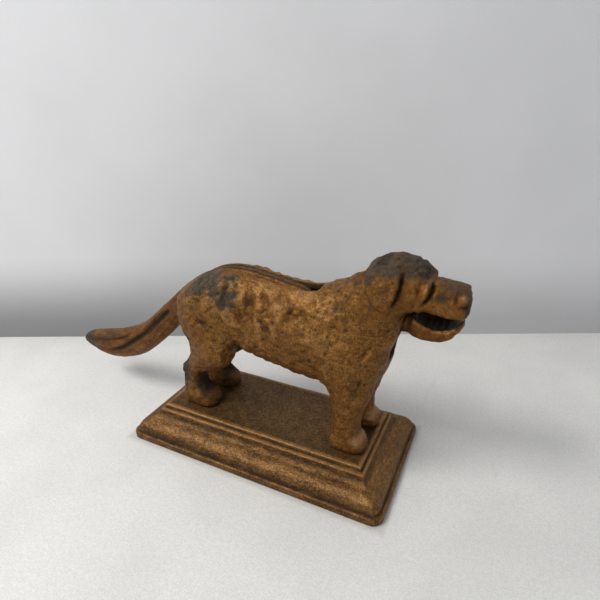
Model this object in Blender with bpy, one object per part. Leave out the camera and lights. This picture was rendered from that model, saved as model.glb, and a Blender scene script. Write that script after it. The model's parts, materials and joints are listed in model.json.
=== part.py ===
"""Cast-iron dog lever piece on a stepped base.

Two hollow body halves meet on the dog's middle plane and stand on a hollow
base.  One casting forms the tail, an arm lying in a slot along the back and the
lower jaw; it turns on a cross pin in the shoulders, so raising the tail opens
the mouth.  Two cross screws hold the halves together and four screws from
below hold the paws to the base.

Frame: +X towards the nose, +Y to the dog's left, +Z up, metres.  The origin is
under the middle of the overall length, on the ground.  Sizes and tables below
are in millimetres; x and y are measured from the middle of the base.
"""

import math

import bmesh
import bpy
from mathutils import Matrix, Vector

MM = 0.001
AXIS_Y = (0, 1, 0)
AXIS_Z = (0, 0, 1)

# ---- driving dimensions ------------------------------------------------------
BASE_LENGTH = 172.0
BASE_WIDTH = 90.0
BASE_HEIGHT = 20.3
BASE_WALL = 4.2             # thickness of the base top
BASE_CORNER = 6.5           # corner radius at the outer edge
BASE_CORNER_SHRINK = 0.42   # loss of corner radius per unit of inset
BASE_CORNER_MIN = 0.9
BASE_CORNER_STEPS = 4
BASE_MIDDLE_X = 28.80       # base middle ahead of the overall middle

GAP = 0.3                   # clearance between neighbouring castings
SEAM_HALF = GAP / 2         # from the middle plane to each body half
BODY_WALL = 4.2
NECK_WALL = BODY_WALL + 0.6
SLOT_HALF = 5.7             # half width of the back slot and the throat slot
BODY_VOXEL = 1.5
BODY_SMOOTHING = 5          # rounds
BODY_TRIANGLES = 4000
SHARP_ANGLE = 38            # degrees; steeper edges are shaded sharp

PIVOT_X, PIVOT_Z = 48.0, 96.0
PIN_R = 3.0
PIN_BORE_R = 3.09
PIN_HALF = 17.2             # half length
PIN_END_PLAY = 0.5
PIN_BOSS_R = 7.2
LEVER_BORE_HALF = 12        # reaches past both sides of the lever

SCREW_R = 1.9
SCREW_BORE_R = 2.2
SCREW_SLOT_HALF = 0.5       # half width of the driver slot
SCREW_SLOT_REACH = 6        # half length of the slot cutter, past the head

CROSS_SCREWS = {"rear": (-37.0, 78.0), "front": (57.0, 70.0)}   # x, z
CROSS_HEAD_Y = 19.6         # floor of the head recess in the left half
CROSS_TIP_DEPTH = 13.6      # screw tip, into the right half from the middle plane
CROSS_BORE_DEPTH = CROSS_TIP_DEPTH + 1
CROSS_RECESS_R = 4.3
CROSS_RECESS_LENGTH = 14
CROSS_BOSS_R = 5.6
BOSS_LENGTH = 30            # reaches past the hollow

BASE_SCREWS = {             # x, y
    "front_right": (55.5, -13.0), "front_left": (55.5, 13.0),
    "rear_right": (-50.0, -12.2), "rear_left": (-50.0, 12.2),
}
BASE_BORE_R = 2.3
BASE_BORE_Z, BASE_BORE_LENGTH = 10, 16
PAW_BORE_Z, PAW_BORE_LENGTH = 15, 17.6

# teeth across the roof of the mouth
MOUTH_REAR_X, MOUTH_FRONT_X = 82.0, 106.0
MOUTH_HALF = 8.6
MOUTH_CUT_Z = 90.0          # underside of the cutter, below the head
TOOTH_PITCH = 3.4
TOOTH_TIP_Z, TOOTH_ROOT_Z = 113.2, 115.0

# ---- sections ----------------------------------------------------------------
# Each row: (end a: x, z), (end b: x, z), half width in y, middle y, fullness.
# The ends span the section in the side view; fullness is the exponent of the
# super-ellipse, 2 being a plain ellipse.  Ears and legs give the right side.

# rump to chest; ends are top, bottom
TORSO = [
    ((-61.6, 96.0), (-61.6, 80.0), 9.0, 0, 2.0),
    ((-60.4, 99.6), (-60.0, 77.5), 14.5, 0, 2.1),
    ((-56.5, 103.0), (-56.3, 72.5), 18.5, 0, 2.2),
    ((-50.0, 107.0), (-50.0, 68.0), 21.0, 0, 2.2),
    ((-42.0, 111.5), (-42.0, 67.0), 22.4, 0, 2.2),
    ((-33.0, 115.0), (-33.0, 68.0), 22.8, 0, 2.2),
    ((-22.0, 116.4), (-22.0, 70.0), 22.2, 0, 2.2),
    ((-10.0, 115.9), (-10.0, 63.5), 21.6, 0, 2.2),
    ((2.0, 114.1), (2.0, 60.0), 21.6, 0, 2.2),
    ((14.0, 112.4), (14.0, 58.0), 22.2, 0, 2.2),
    ((26.0, 112.3), (26.0, 56.6), 22.8, 0, 2.2),
    ((36.0, 114.4), (38.0, 56.2), 22.8, 0, 2.2),
    ((45.0, 113.0), (50.0, 56.0), 21.8, 0, 2.2),
    ((54.0, 106.0), (59.0, 57.5), 19.5, 0, 2.2),
    ((63.0, 100.0), (66.0, 61.0), 16.5, 0, 2.1),
    ((71.0, 95.0), (71.5, 67.5), 12.5, 0, 2.0),
    ((76.0, 91.0), (74.6, 77.0), 7.0, 0, 2.0),
]
# shoulders up to the head; ends are nape, throat
NECK = [
    ((30.0, 106.0), (52.0, 66.0), 17.5, 0, 2.1),
    ((36.5, 114.6), (66.0, 72.0), 19.3, 0, 2.1),
    ((43.5, 118.0), (75.5, 85.0), 18.8, 0, 2.1),
    ((50.0, 122.6), (78.6, 92.5), 17.6, 0, 2.1),
    ((56.0, 128.6), (79.8, 98.5), 16.4, 0, 2.1),
    ((62.0, 133.8), (81.0, 104.0), 15.6, 0, 2.1),
    ((68.0, 136.0), (82.5, 108.5), 14.6, 0, 2.1),
]
# back of the head to the nose; ends are top, bottom
HEAD = [
    ((57.5, 127.0), (57.5, 114.0), 9.0, 0, 2.0),
    ((61.0, 132.6), (61.0, 109.0), 12.8, 0, 2.2),
    ((67.0, 136.6), (67.0, 105.5), 14.8, 0, 2.3),
    ((74.0, 137.4), (74.0, 105.0), 15.4, 0, 2.3),
    ((81.0, 135.8), (81.0, 107.0), 15.0, 0, 2.4),
    ((86.5, 133.6), (86.5, 109.4), 14.0, 0, 2.5),
    ((90.0, 131.0), (90.0, 110.2), 12.8, 0, 2.5),
    ((92.4, 127.6), (92.4, 110.0), 11.9, 0, 2.6),
    ((96.0, 126.9), (96.0, 109.5), 11.5, 0, 2.6),
    ((101.0, 126.4), (101.0, 109.0), 11.3, 0, 2.6),
    ((105.5, 125.7), (105.5, 108.8), 11.0, 0, 2.6),
    ((108.4, 124.6), (108.4, 109.0), 10.2, 0, 2.6),
    ((110.0, 122.8), (110.0, 110.4), 8.4, 0, 2.5),
    ((110.9, 120.4), (110.9, 113.6), 5.2, 0, 2.3),
]
# top to tip; ends are front, rear
EAR = [
    ((75.0, 135.4), (65.5, 134.4), 2.4, -9.6, 2.2),
    ((78.2, 132.6), (60.6, 130.6), 3.0, -13.0, 2.4),
    ((78.4, 128.0), (60.2, 126.6), 2.8, -15.2, 2.4),
    ((77.6, 122.4), (61.8, 121.4), 2.5, -16.2, 2.4),
    ((76.4, 117.6), (64.2, 116.8), 2.2, -16.5, 2.4),
    ((75.0, 114.0), (67.2, 113.2), 1.9, -16.2, 2.2),
    ((73.2, 111.6), (70.0, 111.2), 1.2, -15.6, 2.0),
]
# hind leg from the hip down; ends are front, rear
HIND_LEG = [
    ((-34.0, 106.0), (-50.0, 104.0), 5.0, -10.0, 2.0),
    ((-26.0, 99.0), (-55.5, 97.0), 9.4, -11.6, 2.1),
    ((-19.8, 88.0), (-59.6, 87.0), 12.0, -12.0, 2.2),
    ((-18.8, 77.5), (-58.9, 77.5), 12.6, -12.0, 2.2),
    ((-20.4, 67.0), (-55.9, 70.5), 12.0, -12.2, 2.2),
    ((-22.8, 58.6), (-53.0, 64.5), 10.9, -12.6, 2.2),
    ((-25.8, 53.4), (-51.9, 60.0), 10.1, -12.7, 2.2),
    ((-33.4, 48.6), (-53.0, 56.4), 9.1, -12.7, 2.2),
    ((-43.0, 45.4), (-57.6, 51.0), 7.9, -12.7, 2.2),
    ((-45.2, 42.0), (-60.4, 45.2), 7.3, -12.6, 2.2),
    ((-44.4, 36.5), (-60.4, 38.6), 7.1, -12.4, 2.2),
    ((-43.6, 31.0), (-61.4, 31.0), 7.5, -12.2, 2.2),
    ((-43.0, 24.0), (-60.8, 24.0), 7.8, -12.2, 2.2),
    ((-46.5, 18.5), (-58.0, 18.5), 7.0, -12.2, 2.2),
]
# heel to toes; ends are top, bottom
HIND_PAW = [
    ((-60.8, 29.5), (-60.8, 22.0), 4.4, -12.2, 2.0),
    ((-57.5, 35.0), (-57.5, 18.0), 7.9, -12.2, 2.3),
    ((-50.0, 35.6), (-50.0, 16.5), 8.7, -12.2, 2.4),
    ((-44.0, 33.4), (-44.0, 16.5), 8.6, -12.2, 2.4),
    ((-40.0, 30.4), (-40.0, 17.0), 7.8, -12.2, 2.3),
    ((-37.6, 27.6), (-37.6, 18.8), 6.0, -12.2, 2.1),
    ((-36.4, 25.4), (-36.4, 21.6), 3.4, -12.2, 2.0),
]
# shoulder down; ends are front, rear
FRONT_LEG = [
    ((63.0, 100.0), (42.0, 98.0), 6.0, -11.5, 2.0),
    ((70.0, 92.0), (36.0, 89.0), 9.4, -12.2, 2.2),
    ((72.6, 80.0), (35.4, 78.0), 10.4, -12.6, 2.2),
    ((70.6, 69.0), (37.6, 68.0), 10.2, -12.8, 2.2),
    ((68.2, 60.0), (40.6, 61.0), 9.3, -12.9, 2.2),
    ((65.8, 52.0), (44.4, 53.0), 8.3, -13.0, 2.2),
    ((63.5, 44.0), (45.4, 45.0), 7.6, -13.0, 2.2),
    ((62.7, 36.5), (45.7, 36.5), 7.3, -13.0, 2.2),
    ((63.6, 29.5), (45.5, 28.0), 7.6, -13.0, 2.2),
    ((64.6, 24.0), (45.5, 23.0), 7.8, -13.0, 2.2),
    ((63.6, 18.5), (46.8, 18.5), 7.2, -13.0, 2.2),
]
# heel to toes; ends are top, bottom
FRONT_PAW = [
    ((45.0, 28.0), (45.0, 21.0), 4.4, -13.0, 2.0),
    ((48.0, 32.0), (48.0, 17.5), 7.4, -13.0, 2.3),
    ((55.0, 34.0), (55.0, 16.5), 8.1, -13.0, 2.4),
    ((61.0, 32.6), (61.0, 17.0), 7.9, -13.0, 2.4),
    ((65.0, 29.6), (65.0, 18.8), 6.2, -13.0, 2.1),
    ((66.9, 27.2), (66.9, 21.8), 3.4, -13.0, 2.0),
]
# tail tip, along the back, to the lower jaw; ends are top, bottom
LEVER = [
    ((-168.4, 37.2), (-167.8, 33.8), 2.4, 0, 2.0),
    ((-166.8, 39.6), (-166.2, 31.4), 4.4, 0, 2.0),
    ((-161.6, 42.3), (-161.8, 29.6), 6.0, 0, 2.1),
    ((-152.0, 45.0), (-152.4, 27.8), 7.0, 0, 2.2),
    ((-139.0, 48.2), (-137.8, 27.0), 7.5, 0, 2.2),
    ((-128.0, 51.3), (-121.0, 31.0), 7.4, 0, 2.2),
    ((-112.5, 57.6), (-104.0, 38.6), 7.0, 0, 2.2),
    ((-100.0, 65.0), (-90.0, 50.0), 6.6, 0, 2.2),
    ((-88.0, 75.6), (-77.5, 61.8), 6.1, 0, 2.3),
    ((-77.0, 85.4), (-67.0, 72.2), 5.7, 0, 2.4),
    ((-66.0, 94.9), (-57.5, 81.0), 5.2, 0, 2.6),
    ((-56.0, 102.8), (-49.0, 89.0), 5.0, 0, 2.8),
    ((-44.0, 109.8), (-40.0, 94.0), 5.0, 0, 3.2),
    ((-30.0, 115.1), (-29.0, 96.5), 5.0, 0, 3.2),
    ((-15.0, 116.1), (-15.5, 97.5), 5.0, 0, 3.2),
    ((0.0, 114.3), (-2.0, 97.0), 5.0, 0, 3.2),
    ((13.0, 112.2), (8.0, 95.0), 5.0, 0, 3.2),
    ((21.0, 110.7), (18.0, 92.0), 5.0, 0, 3.2),
    ((25.6, 108.2), (23.0, 90.4), 5.0, 0, 3.2),
    ((30.2, 102.0), (29.0, 89.0), 5.0, 0, 3.0),
    ((41.0, 102.6), (40.0, 87.0), 5.0, 0, 3.0),
    ((49.0, 104.6), (50.0, 86.4), 5.0, 0, 3.0),
    ((58.0, 105.0), (60.0, 89.6), 5.0, 0, 3.0),
    ((68.0, 106.2), (69.5, 93.0), 5.0, 0, 2.8),
    ((77.0, 107.6), (78.0, 95.4), 5.0, 0, 2.6),
    ((81.6, 108.3), (81.8, 95.8), 5.7, 0, 2.4),
    ((85.0, 108.0), (85.6, 95.8), 9.4, 0, 2.7),
    ((90.0, 106.4), (90.6, 96.0), 10.7, 0, 3.2),
    ((97.0, 105.0), (97.6, 96.6), 10.9, 0, 3.2),
    ((102.4, 105.7), (103.0, 98.4), 10.2, 0, 2.9),
    ((106.4, 107.9), (106.8, 100.8), 8.6, 0, 2.3),
    ((108.6, 108.7), (108.8, 103.2), 6.2, 0, 2.2),
    ((109.5, 107.2), (109.5, 105.0), 3.0, 0, 2.0),
]
# dish cut into the top of the lower jaw, rear to front; ends are top, bottom
JAW_SCOOP = [
    ((86.0, 112.0), (86.0, 103.6), 4.4, 0, 2.4),
    ((89.0, 112.0), (89.0, 100.9), 7.4, 0, 2.8),
    ((94.0, 112.0), (94.0, 99.9), 8.4, 0, 3.0),
    ((99.0, 112.0), (99.0, 100.4), 8.2, 0, 3.0),
    ((103.0, 112.0), (103.0, 102.4), 6.8, 0, 2.6),
    ((105.4, 112.0), (105.4, 105.2), 4.0, 0, 2.2),
]

# ---- outlines ----------------------------------------------------------------
# base moulding and underside: distance in from the outer edge, height
BASE_PROFILE = [
    (0.45, 0.0), (0.0, 0.5), (0.0, 3.2), (0.35, 4.0), (1.1, 4.35), (1.9, 4.4),
    (2.0, 5.6), (2.7, 7.6), (4.1, 9.5), (6.2, 11.1), (8.6, 12.1), (11.0, 12.7),
    (12.8, 13.6), (13.8, 14.9), (14.2, 16.4), (14.6, 17.2), (15.3, 17.5),
    (16.5, 17.6), (16.9, 18.0), (17.1, 19.5), (17.5, 20.15), (18.3, BASE_HEIGHT),
]
BASE_INSIDE = [
    (4.6, 0.0), (5.6, 5.0), (9.5, 8.2), (15.5, 10.4), (18.0, 13.0),
    (19.5, BASE_HEIGHT - BASE_WALL),
]
# slots for the lever in the side view: x, z
BACK_SLOT = [
    (-80, 62), (-80, 135), (32.6, 135), (33.0, 104), (33.0, 84), (-30, 84),
    (-50, 66), (-58, 62),
]
THROAT_SLOT = [
    (28, 84), (30, 106), (44, 107.5), (58, 109), (70, 111), (84, 112), (120, 112),
    (120, 78), (70, 79), (60, 80), (44, 80),
]


# ---- objects and modifiers ---------------------------------------------------
def clear_scene():
    for obj in list(bpy.data.objects):
        bpy.data.objects.remove(obj, do_unlink=True)


def add_object(name, bm):
    mesh = bpy.data.meshes.new(name)
    bmesh.ops.recalc_face_normals(bm, faces=bm.faces)
    bm.to_mesh(mesh)
    bm.free()
    return link_object(name, mesh)


def link_object(name, data):
    obj = bpy.data.objects.new(name, data)
    bpy.context.scene.collection.objects.link(obj)
    return obj


def apply_modifier(obj, kind, **settings):
    """Replace the object's mesh by what one modifier makes of it."""
    modifier = obj.modifiers.new(kind, kind)
    for setting, value in settings.items():
        setattr(modifier, setting, value)
    deps = bpy.context.evaluated_depsgraph_get()
    deps.update()
    mesh = bpy.data.meshes.new_from_object(obj.evaluated_get(deps), depsgraph=deps)
    obj.modifiers.clear()
    obj.data = mesh


def boolean(obj, tool, operation="DIFFERENCE"):
    """Combine obj with the tool, which is used up."""
    apply_modifier(obj, "BOOLEAN", operation=operation, solver="EXACT", object=tool)
    bpy.data.objects.remove(tool, do_unlink=True)
    return obj


# ---- solids ------------------------------------------------------------------
def bridge(bm, rings):
    """Side faces between successive rings of vertices."""
    count = len(rings[0])
    for ring, following in zip(rings, rings[1:]):
        for i in range(count):
            j = (i + 1) % count
            bm.faces.new((ring[i], ring[j], following[j], following[i]))


def cap_ends(bm, rings):
    bm.faces.new(rings[0])
    bm.faces.new(rings[-1])


def spline(before, start, end, after, t):
    """Catmull-Rom value at t between start and end."""
    return 0.5 * ((2 * start) + (end - before) * t
                  + (2 * before - 5 * start + 4 * end - after) * t * t
                  + (3 * start - before - 3 * end + after) * t ** 3)


def fine_sections(sections, steps):
    """Flattened section rows with spline rows between them."""
    rows = [(*end_a, *end_b, *rest) for end_a, end_b, *rest in sections]
    fine = []
    for i in range(len(rows) - 1):
        near = (rows[max(i - 1, 0)], rows[i], rows[i + 1], rows[min(i + 2, len(rows) - 1)])
        for step in range(steps):
            fine.append([spline(*values, step / steps) for values in zip(*near)])
    fine.append(rows[-1])
    return fine


def loft(bm, sections, count=28, steps=3, mirror=False, inset=0.0):
    """Skin of super-ellipse rings, closed by a fan at each end."""
    least = 0.4     # smallest half size an inset may leave
    rings = []
    for ax, az, bx, bz, half_width, middle_y, fullness in fine_sections(sections, steps):
        middle_x, middle_z = (ax + bx) / 2, (az + bz) / 2
        half_x, half_z = (ax - bx) / 2, (az - bz) / 2
        size = math.hypot(half_x, half_z)
        scale = max(size - inset, least) / size
        wide = max(half_width - inset, least)
        ring = []
        for i in range(count):
            angle = 2 * math.pi * i / count
            cosine, sine = math.cos(angle), math.sin(angle)
            along = math.copysign(abs(cosine) ** (2 / fullness), cosine) * scale
            y = middle_y + math.copysign(abs(sine) ** (2 / fullness), sine) * wide
            ring.append(bm.verts.new(((middle_x + half_x * along) * MM,
                                      (-y if mirror else y) * MM,
                                      (middle_z + half_z * along) * MM)))
        rings.append(ring)
    bridge(bm, rings)
    for ring in (rings[0], rings[-1]):
        middle = bm.verts.new(sum((v.co for v in ring), Vector()) / count)
        for i in range(count):
            bm.faces.new((ring[i], ring[(i + 1) % count], middle))


def loft_object(name, sections, **options):
    bm = bmesh.new()
    loft(bm, sections, **options)
    return add_object(name, bm)


def prism(points, y_start, y_end):
    """Solid from a side-view outline between two y planes."""
    bm = bmesh.new()
    face = bm.faces.new([bm.verts.new((x * MM, y_start * MM, z * MM)) for x, z in points])
    pushed = bmesh.ops.extrude_face_region(bm, geom=[face])
    verts = [v for v in pushed["geom"] if isinstance(v, bmesh.types.BMVert)]
    bmesh.ops.translate(bm, verts=verts, vec=(0, (y_end - y_start) * MM, 0))
    return add_object("tool", bm)


def block(x_span, y_span, z_span):
    (x0, x1), (z0, z1) = x_span, z_span
    return prism([(x0, z0), (x1, z0), (x1, z1), (x0, z1)], *y_span)


def turned(name, profile, origin, axis, count):
    """Solid of revolution: profile is (radius, distance along axis)."""
    bm = bmesh.new()
    turn = Vector(AXIS_Z).rotation_difference(Vector(axis)).to_matrix().to_4x4()
    place = Matrix.Translation(Vector(origin) * MM) @ turn
    angles = [2 * math.pi * i / count for i in range(count)]
    rings = [[bm.verts.new(place @ Vector((radius * MM * math.cos(angle),
                                           radius * MM * math.sin(angle),
                                           distance * MM))) for angle in angles]
             for radius, distance in profile]
    bridge(bm, rings)
    cap_ends(bm, rings)
    return add_object(name, bm)


def rod(radius, origin, axis, length, count):
    return turned("tool", [(radius, 0), (radius, length)], origin, axis, count)


# ---- base --------------------------------------------------------------------
def base_outline(inset, height):
    """Rounded rectangle, anticlockwise from the front left corner."""
    half_x, half_y = BASE_LENGTH / 2 - inset, BASE_WIDTH / 2 - inset
    radius = max(BASE_CORNER - BASE_CORNER_SHRINK * inset, BASE_CORNER_MIN)
    x, y = half_x - radius, half_y - radius
    points = []
    for corner_x, corner_y, start in ((x, y, 0), (-x, y, 90), (-x, -y, 180), (x, -y, 270)):
        for k in range(BASE_CORNER_STEPS + 1):
            angle = math.radians(start + 90 / BASE_CORNER_STEPS * k)
            points.append((corner_x + radius * math.cos(angle),
                           corner_y + radius * math.sin(angle), height))
    return points


def make_base():
    bm = bmesh.new()
    rings = [[bm.verts.new(Vector(point) * MM) for point in base_outline(inset, z)]
             for inset, z in BASE_INSIDE[::-1] + BASE_PROFILE]
    bridge(bm, rings)
    cap_ends(bm, rings)
    base = add_object("base", bm)
    for x, y in BASE_SCREWS.values():
        boolean(base, rod(BASE_BORE_R, (x, y, BASE_BORE_Z), AXIS_Z, BASE_BORE_LENGTH, 20))
    return base


# ---- body --------------------------------------------------------------------
def body_skin():
    """The whole dog as one solid, its parts blended by a voxel remesh."""
    bm = bmesh.new()
    for part in (TORSO, NECK, HEAD):
        loft(bm, part)
    for part in (EAR, HIND_LEG, HIND_PAW, FRONT_LEG, FRONT_PAW):
        for mirror in (False, True):
            loft(bm, part, count=20, mirror=mirror)
    skin = add_object("skin", bm)
    apply_modifier(skin, "REMESH", mode="VOXEL", voxel_size=BODY_VOXEL * MM)
    apply_modifier(skin, "SMOOTH", factor=0.5, iterations=BODY_SMOOTHING)
    apply_modifier(skin, "TRIANGULATE")
    triangles = len(skin.data.polygons)
    if triangles > BODY_TRIANGLES:
        apply_modifier(skin, "DECIMATE", ratio=BODY_TRIANGLES / triangles,
                       use_collapse_triangulate=True)
    return skin


def body_hollow():
    """The inside of both halves, with the pin and screw bosses left out of it."""
    core = loft_object("core", TORSO[2:-3], count=20, steps=1, inset=BODY_WALL)
    neck = loft_object("tool", NECK[1:6], count=20, steps=1, inset=NECK_WALL)
    boolean(core, neck, "UNION")
    # x, z, radius, start in y; the screw bosses overlap across the middle plane
    bosses = [(PIVOT_X, PIVOT_Z, PIN_BOSS_R, SLOT_HALF)]
    bosses += [(x, z, CROSS_BOSS_R, SEAM_HALF - 1) for x, z in CROSS_SCREWS.values()]
    for x, z, radius, start in bosses:
        for side in (-1, 1):
            boolean(core, rod(radius, (x, side * start, z), (0, side, 0), BOSS_LENGTH, 24))
    return core


def mouth_cutter():
    """Block with cross teeth along its top."""
    count = int((MOUTH_FRONT_X - MOUTH_REAR_X) / TOOTH_PITCH)
    points = []
    for k in range(count):
        x = MOUTH_REAR_X + k * TOOTH_PITCH
        points += [(x, TOOTH_TIP_Z), (x + TOOTH_PITCH / 2, TOOTH_ROOT_Z)]
    end_x = MOUTH_REAR_X + count * TOOTH_PITCH
    points += [(end_x, TOOTH_TIP_Z), (end_x, MOUTH_CUT_Z), (MOUTH_REAR_X, MOUTH_CUT_Z)]
    return prism(points, -MOUTH_HALF, MOUTH_HALF)


def drill_body(body):
    """Bores for the pin, the cross screws with their head recesses and the base screws."""
    pin_reach = PIN_HALF + PIN_END_PLAY
    boolean(body, rod(PIN_BORE_R, (PIVOT_X, -pin_reach, PIVOT_Z), AXIS_Y, 2 * pin_reach, 32))
    for x, z in CROSS_SCREWS.values():
        boolean(body, rod(SCREW_BORE_R, (x, -CROSS_BORE_DEPTH, z), AXIS_Y,
                          CROSS_BORE_DEPTH + CROSS_HEAD_Y + 1, 20))
        boolean(body, rod(CROSS_RECESS_R, (x, CROSS_HEAD_Y, z), AXIS_Y,
                          CROSS_RECESS_LENGTH, 24))
    for x, y in BASE_SCREWS.values():
        boolean(body, rod(SCREW_BORE_R, (x, y, PAW_BORE_Z), AXIS_Z, PAW_BORE_LENGTH, 20))


def make_halves():
    body = body_skin()
    boolean(body, body_hollow())
    for slot in (BACK_SLOT, THROAT_SLOT):
        boolean(body, prism(slot, -SLOT_HALF, SLOT_HALF))
    boolean(body, mouth_cutter())
    # flat soles just above the base
    boolean(body, block((-90, 130), (-60, 60), (0, BASE_HEIGHT + GAP)))
    drill_body(body)
    halves = []
    for name, side in (("body_half_right", -1), ("body_half_left", 1)):
        half = link_object(name, body.data.copy())
        keep = block((-100, 140), (side * SEAM_HALF, side * 60), (0, 160))
        halves.append(boolean(half, keep, "INTERSECT"))
    bpy.data.objects.remove(body, do_unlink=True)
    return halves


# ---- lever -------------------------------------------------------------------
def make_lever():
    lever = loft_object("tail_lever", LEVER, count=16, steps=2)
    boolean(lever, loft_object("tool", JAW_SCOOP, count=16, steps=1))
    return boolean(lever, rod(PIN_BORE_R, (PIVOT_X, -LEVER_BORE_HALF, PIVOT_Z), AXIS_Y,
                              2 * LEVER_BORE_HALF, 32))


# ---- fasteners ---------------------------------------------------------------
def make_pin():
    """Plain pin with chamfered ends."""
    end_r, shoulder = PIN_R - 0.5, PIN_HALF - 0.6
    profile = [(end_r, -PIN_HALF), (PIN_R, -shoulder), (PIN_R, shoulder), (end_r, PIN_HALF)]
    return turned("pivot_pin", profile, (PIVOT_X, 0, PIVOT_Z), AXIS_Y, 32)


def make_cross_screw(name, x, z):
    """Cheese-head screw from the left half into a blind boss of the right half."""
    seat = CROSS_HEAD_Y + GAP
    profile = [(1.5, -seat - CROSS_TIP_DEPTH), (SCREW_R, -seat - CROSS_TIP_DEPTH + 0.6),
               (SCREW_R, 0.0), (3.9, 0.0), (3.9, 1.9), (3.3, 2.6)]
    screw = turned(name, profile, (x, seat, z), AXIS_Y, 24)
    return boolean(screw, block((x - SCREW_SLOT_REACH, x + SCREW_SLOT_REACH),
                                (seat + 1.5, seat + 6),
                                (z - SCREW_SLOT_HALF, z + SCREW_SLOT_HALF)))


def make_base_screw(name, x, y):
    """Round-head screw from under the base into a paw."""
    seat = BASE_HEIGHT - BASE_WALL - GAP
    profile = [(2.4, -2.8), (3.6, -2.2), (4.0, -1.2), (4.0, 0.0),
               (SCREW_R, 0.0), (SCREW_R, 15.0), (1.2, 15.9)]
    screw = turned(name, profile, (x, y, seat), AXIS_Z, 24)
    return boolean(screw, block((x - SCREW_SLOT_REACH, x + SCREW_SLOT_REACH),
                                (y - SCREW_SLOT_HALF, y + SCREW_SLOT_HALF),
                                (seat - 5, seat - 1.8)))


# ---- materials and finish ----------------------------------------------------
def make_material(name, colour, roughness=0.45, metallic=0.6):
    material = bpy.data.materials.new(name)
    material.use_nodes = True
    shader = material.node_tree.nodes["Principled BSDF"]
    shader.inputs["Base Color"].default_value = (*colour, 1.0)
    shader.inputs["Roughness"].default_value = roughness
    shader.inputs["Metallic"].default_value = metallic
    material.diffuse_color = (*colour, 1.0)
    return material


def finish(obj, material, parent):
    for poly in obj.data.polygons:
        poly.use_smooth = True
    obj.data.set_sharp_from_angle(angle=math.radians(SHARP_ANGLE))
    obj.data.materials.clear()
    obj.data.materials.append(material)
    obj.parent = parent


# ---- build -------------------------------------------------------------------
def build():
    clear_scene()
    bronze = make_material("bronze_paint", colour=(0.21, 0.115, 0.05))
    base_paint = make_material("base_paint", colour=(0.17, 0.095, 0.045))
    lever_paint = make_material("lever_paint", colour=(0.23, 0.12, 0.05))
    steel = make_material("dark_steel", colour=(0.09, 0.085, 0.08), roughness=0.5, metallic=0.9)

    root = link_object("dog_frame", None)
    root.location = (BASE_MIDDLE_X * MM, 0.0, 0.0)

    finish(make_base(), base_paint, root)
    for half in make_halves():
        finish(half, bronze, root)
    finish(make_lever(), lever_paint, root)
    finish(make_pin(), steel, root)
    for label, (x, z) in CROSS_SCREWS.items():
        finish(make_cross_screw("body_screw_" + label, x, z), steel, root)
    for label, (x, y) in BASE_SCREWS.items():
        finish(make_base_screw("base_screw_" + label, x, y), steel, root)


build()
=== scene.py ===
"""Looks of a cast-iron dog on a moulded base: worn copper-bronze paint over dark iron.

The dog faces +X with Z up, and Y runs across it, its right side at -Y. Its body is two half castings
that meet at y = 0. A long lever through the back is tail at one end and lower jaw at the other.
Shapes are made in millimetres from the middle of the base, then moved to the frame's metres.
"""

import json
import math
from functools import partialmethod
from itertools import product
from types import SimpleNamespace

import bmesh
import bpy
import numpy as np
from mathutils import Matrix, Vector
from mathutils.bvhtree import BVHTree

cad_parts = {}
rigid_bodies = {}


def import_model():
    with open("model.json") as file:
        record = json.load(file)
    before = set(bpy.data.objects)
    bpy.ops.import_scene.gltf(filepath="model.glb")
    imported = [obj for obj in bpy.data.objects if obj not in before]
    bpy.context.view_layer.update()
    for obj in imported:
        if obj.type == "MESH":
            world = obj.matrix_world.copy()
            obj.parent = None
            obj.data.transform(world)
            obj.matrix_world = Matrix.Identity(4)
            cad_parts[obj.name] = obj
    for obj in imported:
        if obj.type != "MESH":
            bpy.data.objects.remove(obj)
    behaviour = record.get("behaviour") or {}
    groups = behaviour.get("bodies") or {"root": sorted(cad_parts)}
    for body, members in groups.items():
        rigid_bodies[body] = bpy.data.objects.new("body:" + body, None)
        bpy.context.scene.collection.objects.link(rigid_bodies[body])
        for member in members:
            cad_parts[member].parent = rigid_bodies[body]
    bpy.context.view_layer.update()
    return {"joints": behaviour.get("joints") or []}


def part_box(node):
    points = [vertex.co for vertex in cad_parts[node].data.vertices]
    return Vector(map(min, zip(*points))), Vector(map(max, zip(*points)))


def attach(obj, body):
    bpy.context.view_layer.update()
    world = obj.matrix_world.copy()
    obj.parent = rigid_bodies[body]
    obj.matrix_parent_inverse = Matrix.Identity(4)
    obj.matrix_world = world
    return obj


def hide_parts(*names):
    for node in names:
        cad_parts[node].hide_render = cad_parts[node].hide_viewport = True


for old_object in list(bpy.data.objects):
    bpy.data.objects.remove(old_object, do_unlink=True)
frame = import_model()

# ------------------------------------------------------------------ sizes from the frame
MM = 0.001
base_low, base_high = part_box("base")
CX = (base_low.x + base_high.x) / 2          # middle of the base in the frame, metres
BASE_H = base_high.z / MM
BASE_L = (base_high.x - base_low.x) / MM
BASE_W = (base_high.y - base_low.y) / MM


def centre(name):
    """Middle of a frame piece, mm from the middle of the base."""
    low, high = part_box(name)
    return ((low.x + high.x) / 2 - CX) / MM, (low.y + high.y) / 2 / MM, (low.z + high.z) / 2 / MM


BODY_SCREWS = ["body_screw_" + end for end in ("front", "rear")]
BASE_SCREWS = ["base_screw_%s_%s" % key for key in product(("front", "rear"), ("left", "right"))]
CROSS = [centre(name)[::2] for name in BODY_SCREWS]     # x, z of the screws across the body
FEET = [centre(name)[:2] for name in BASE_SCREWS]       # x, y of the screws through the base
pivot = next(j for j in frame["joints"] if j["name"] == "tail_lever_pivot")["pos_m"]
PIVOT = ((pivot[0] - CX) / MM, pivot[2] / MM)           # x, z

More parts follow.
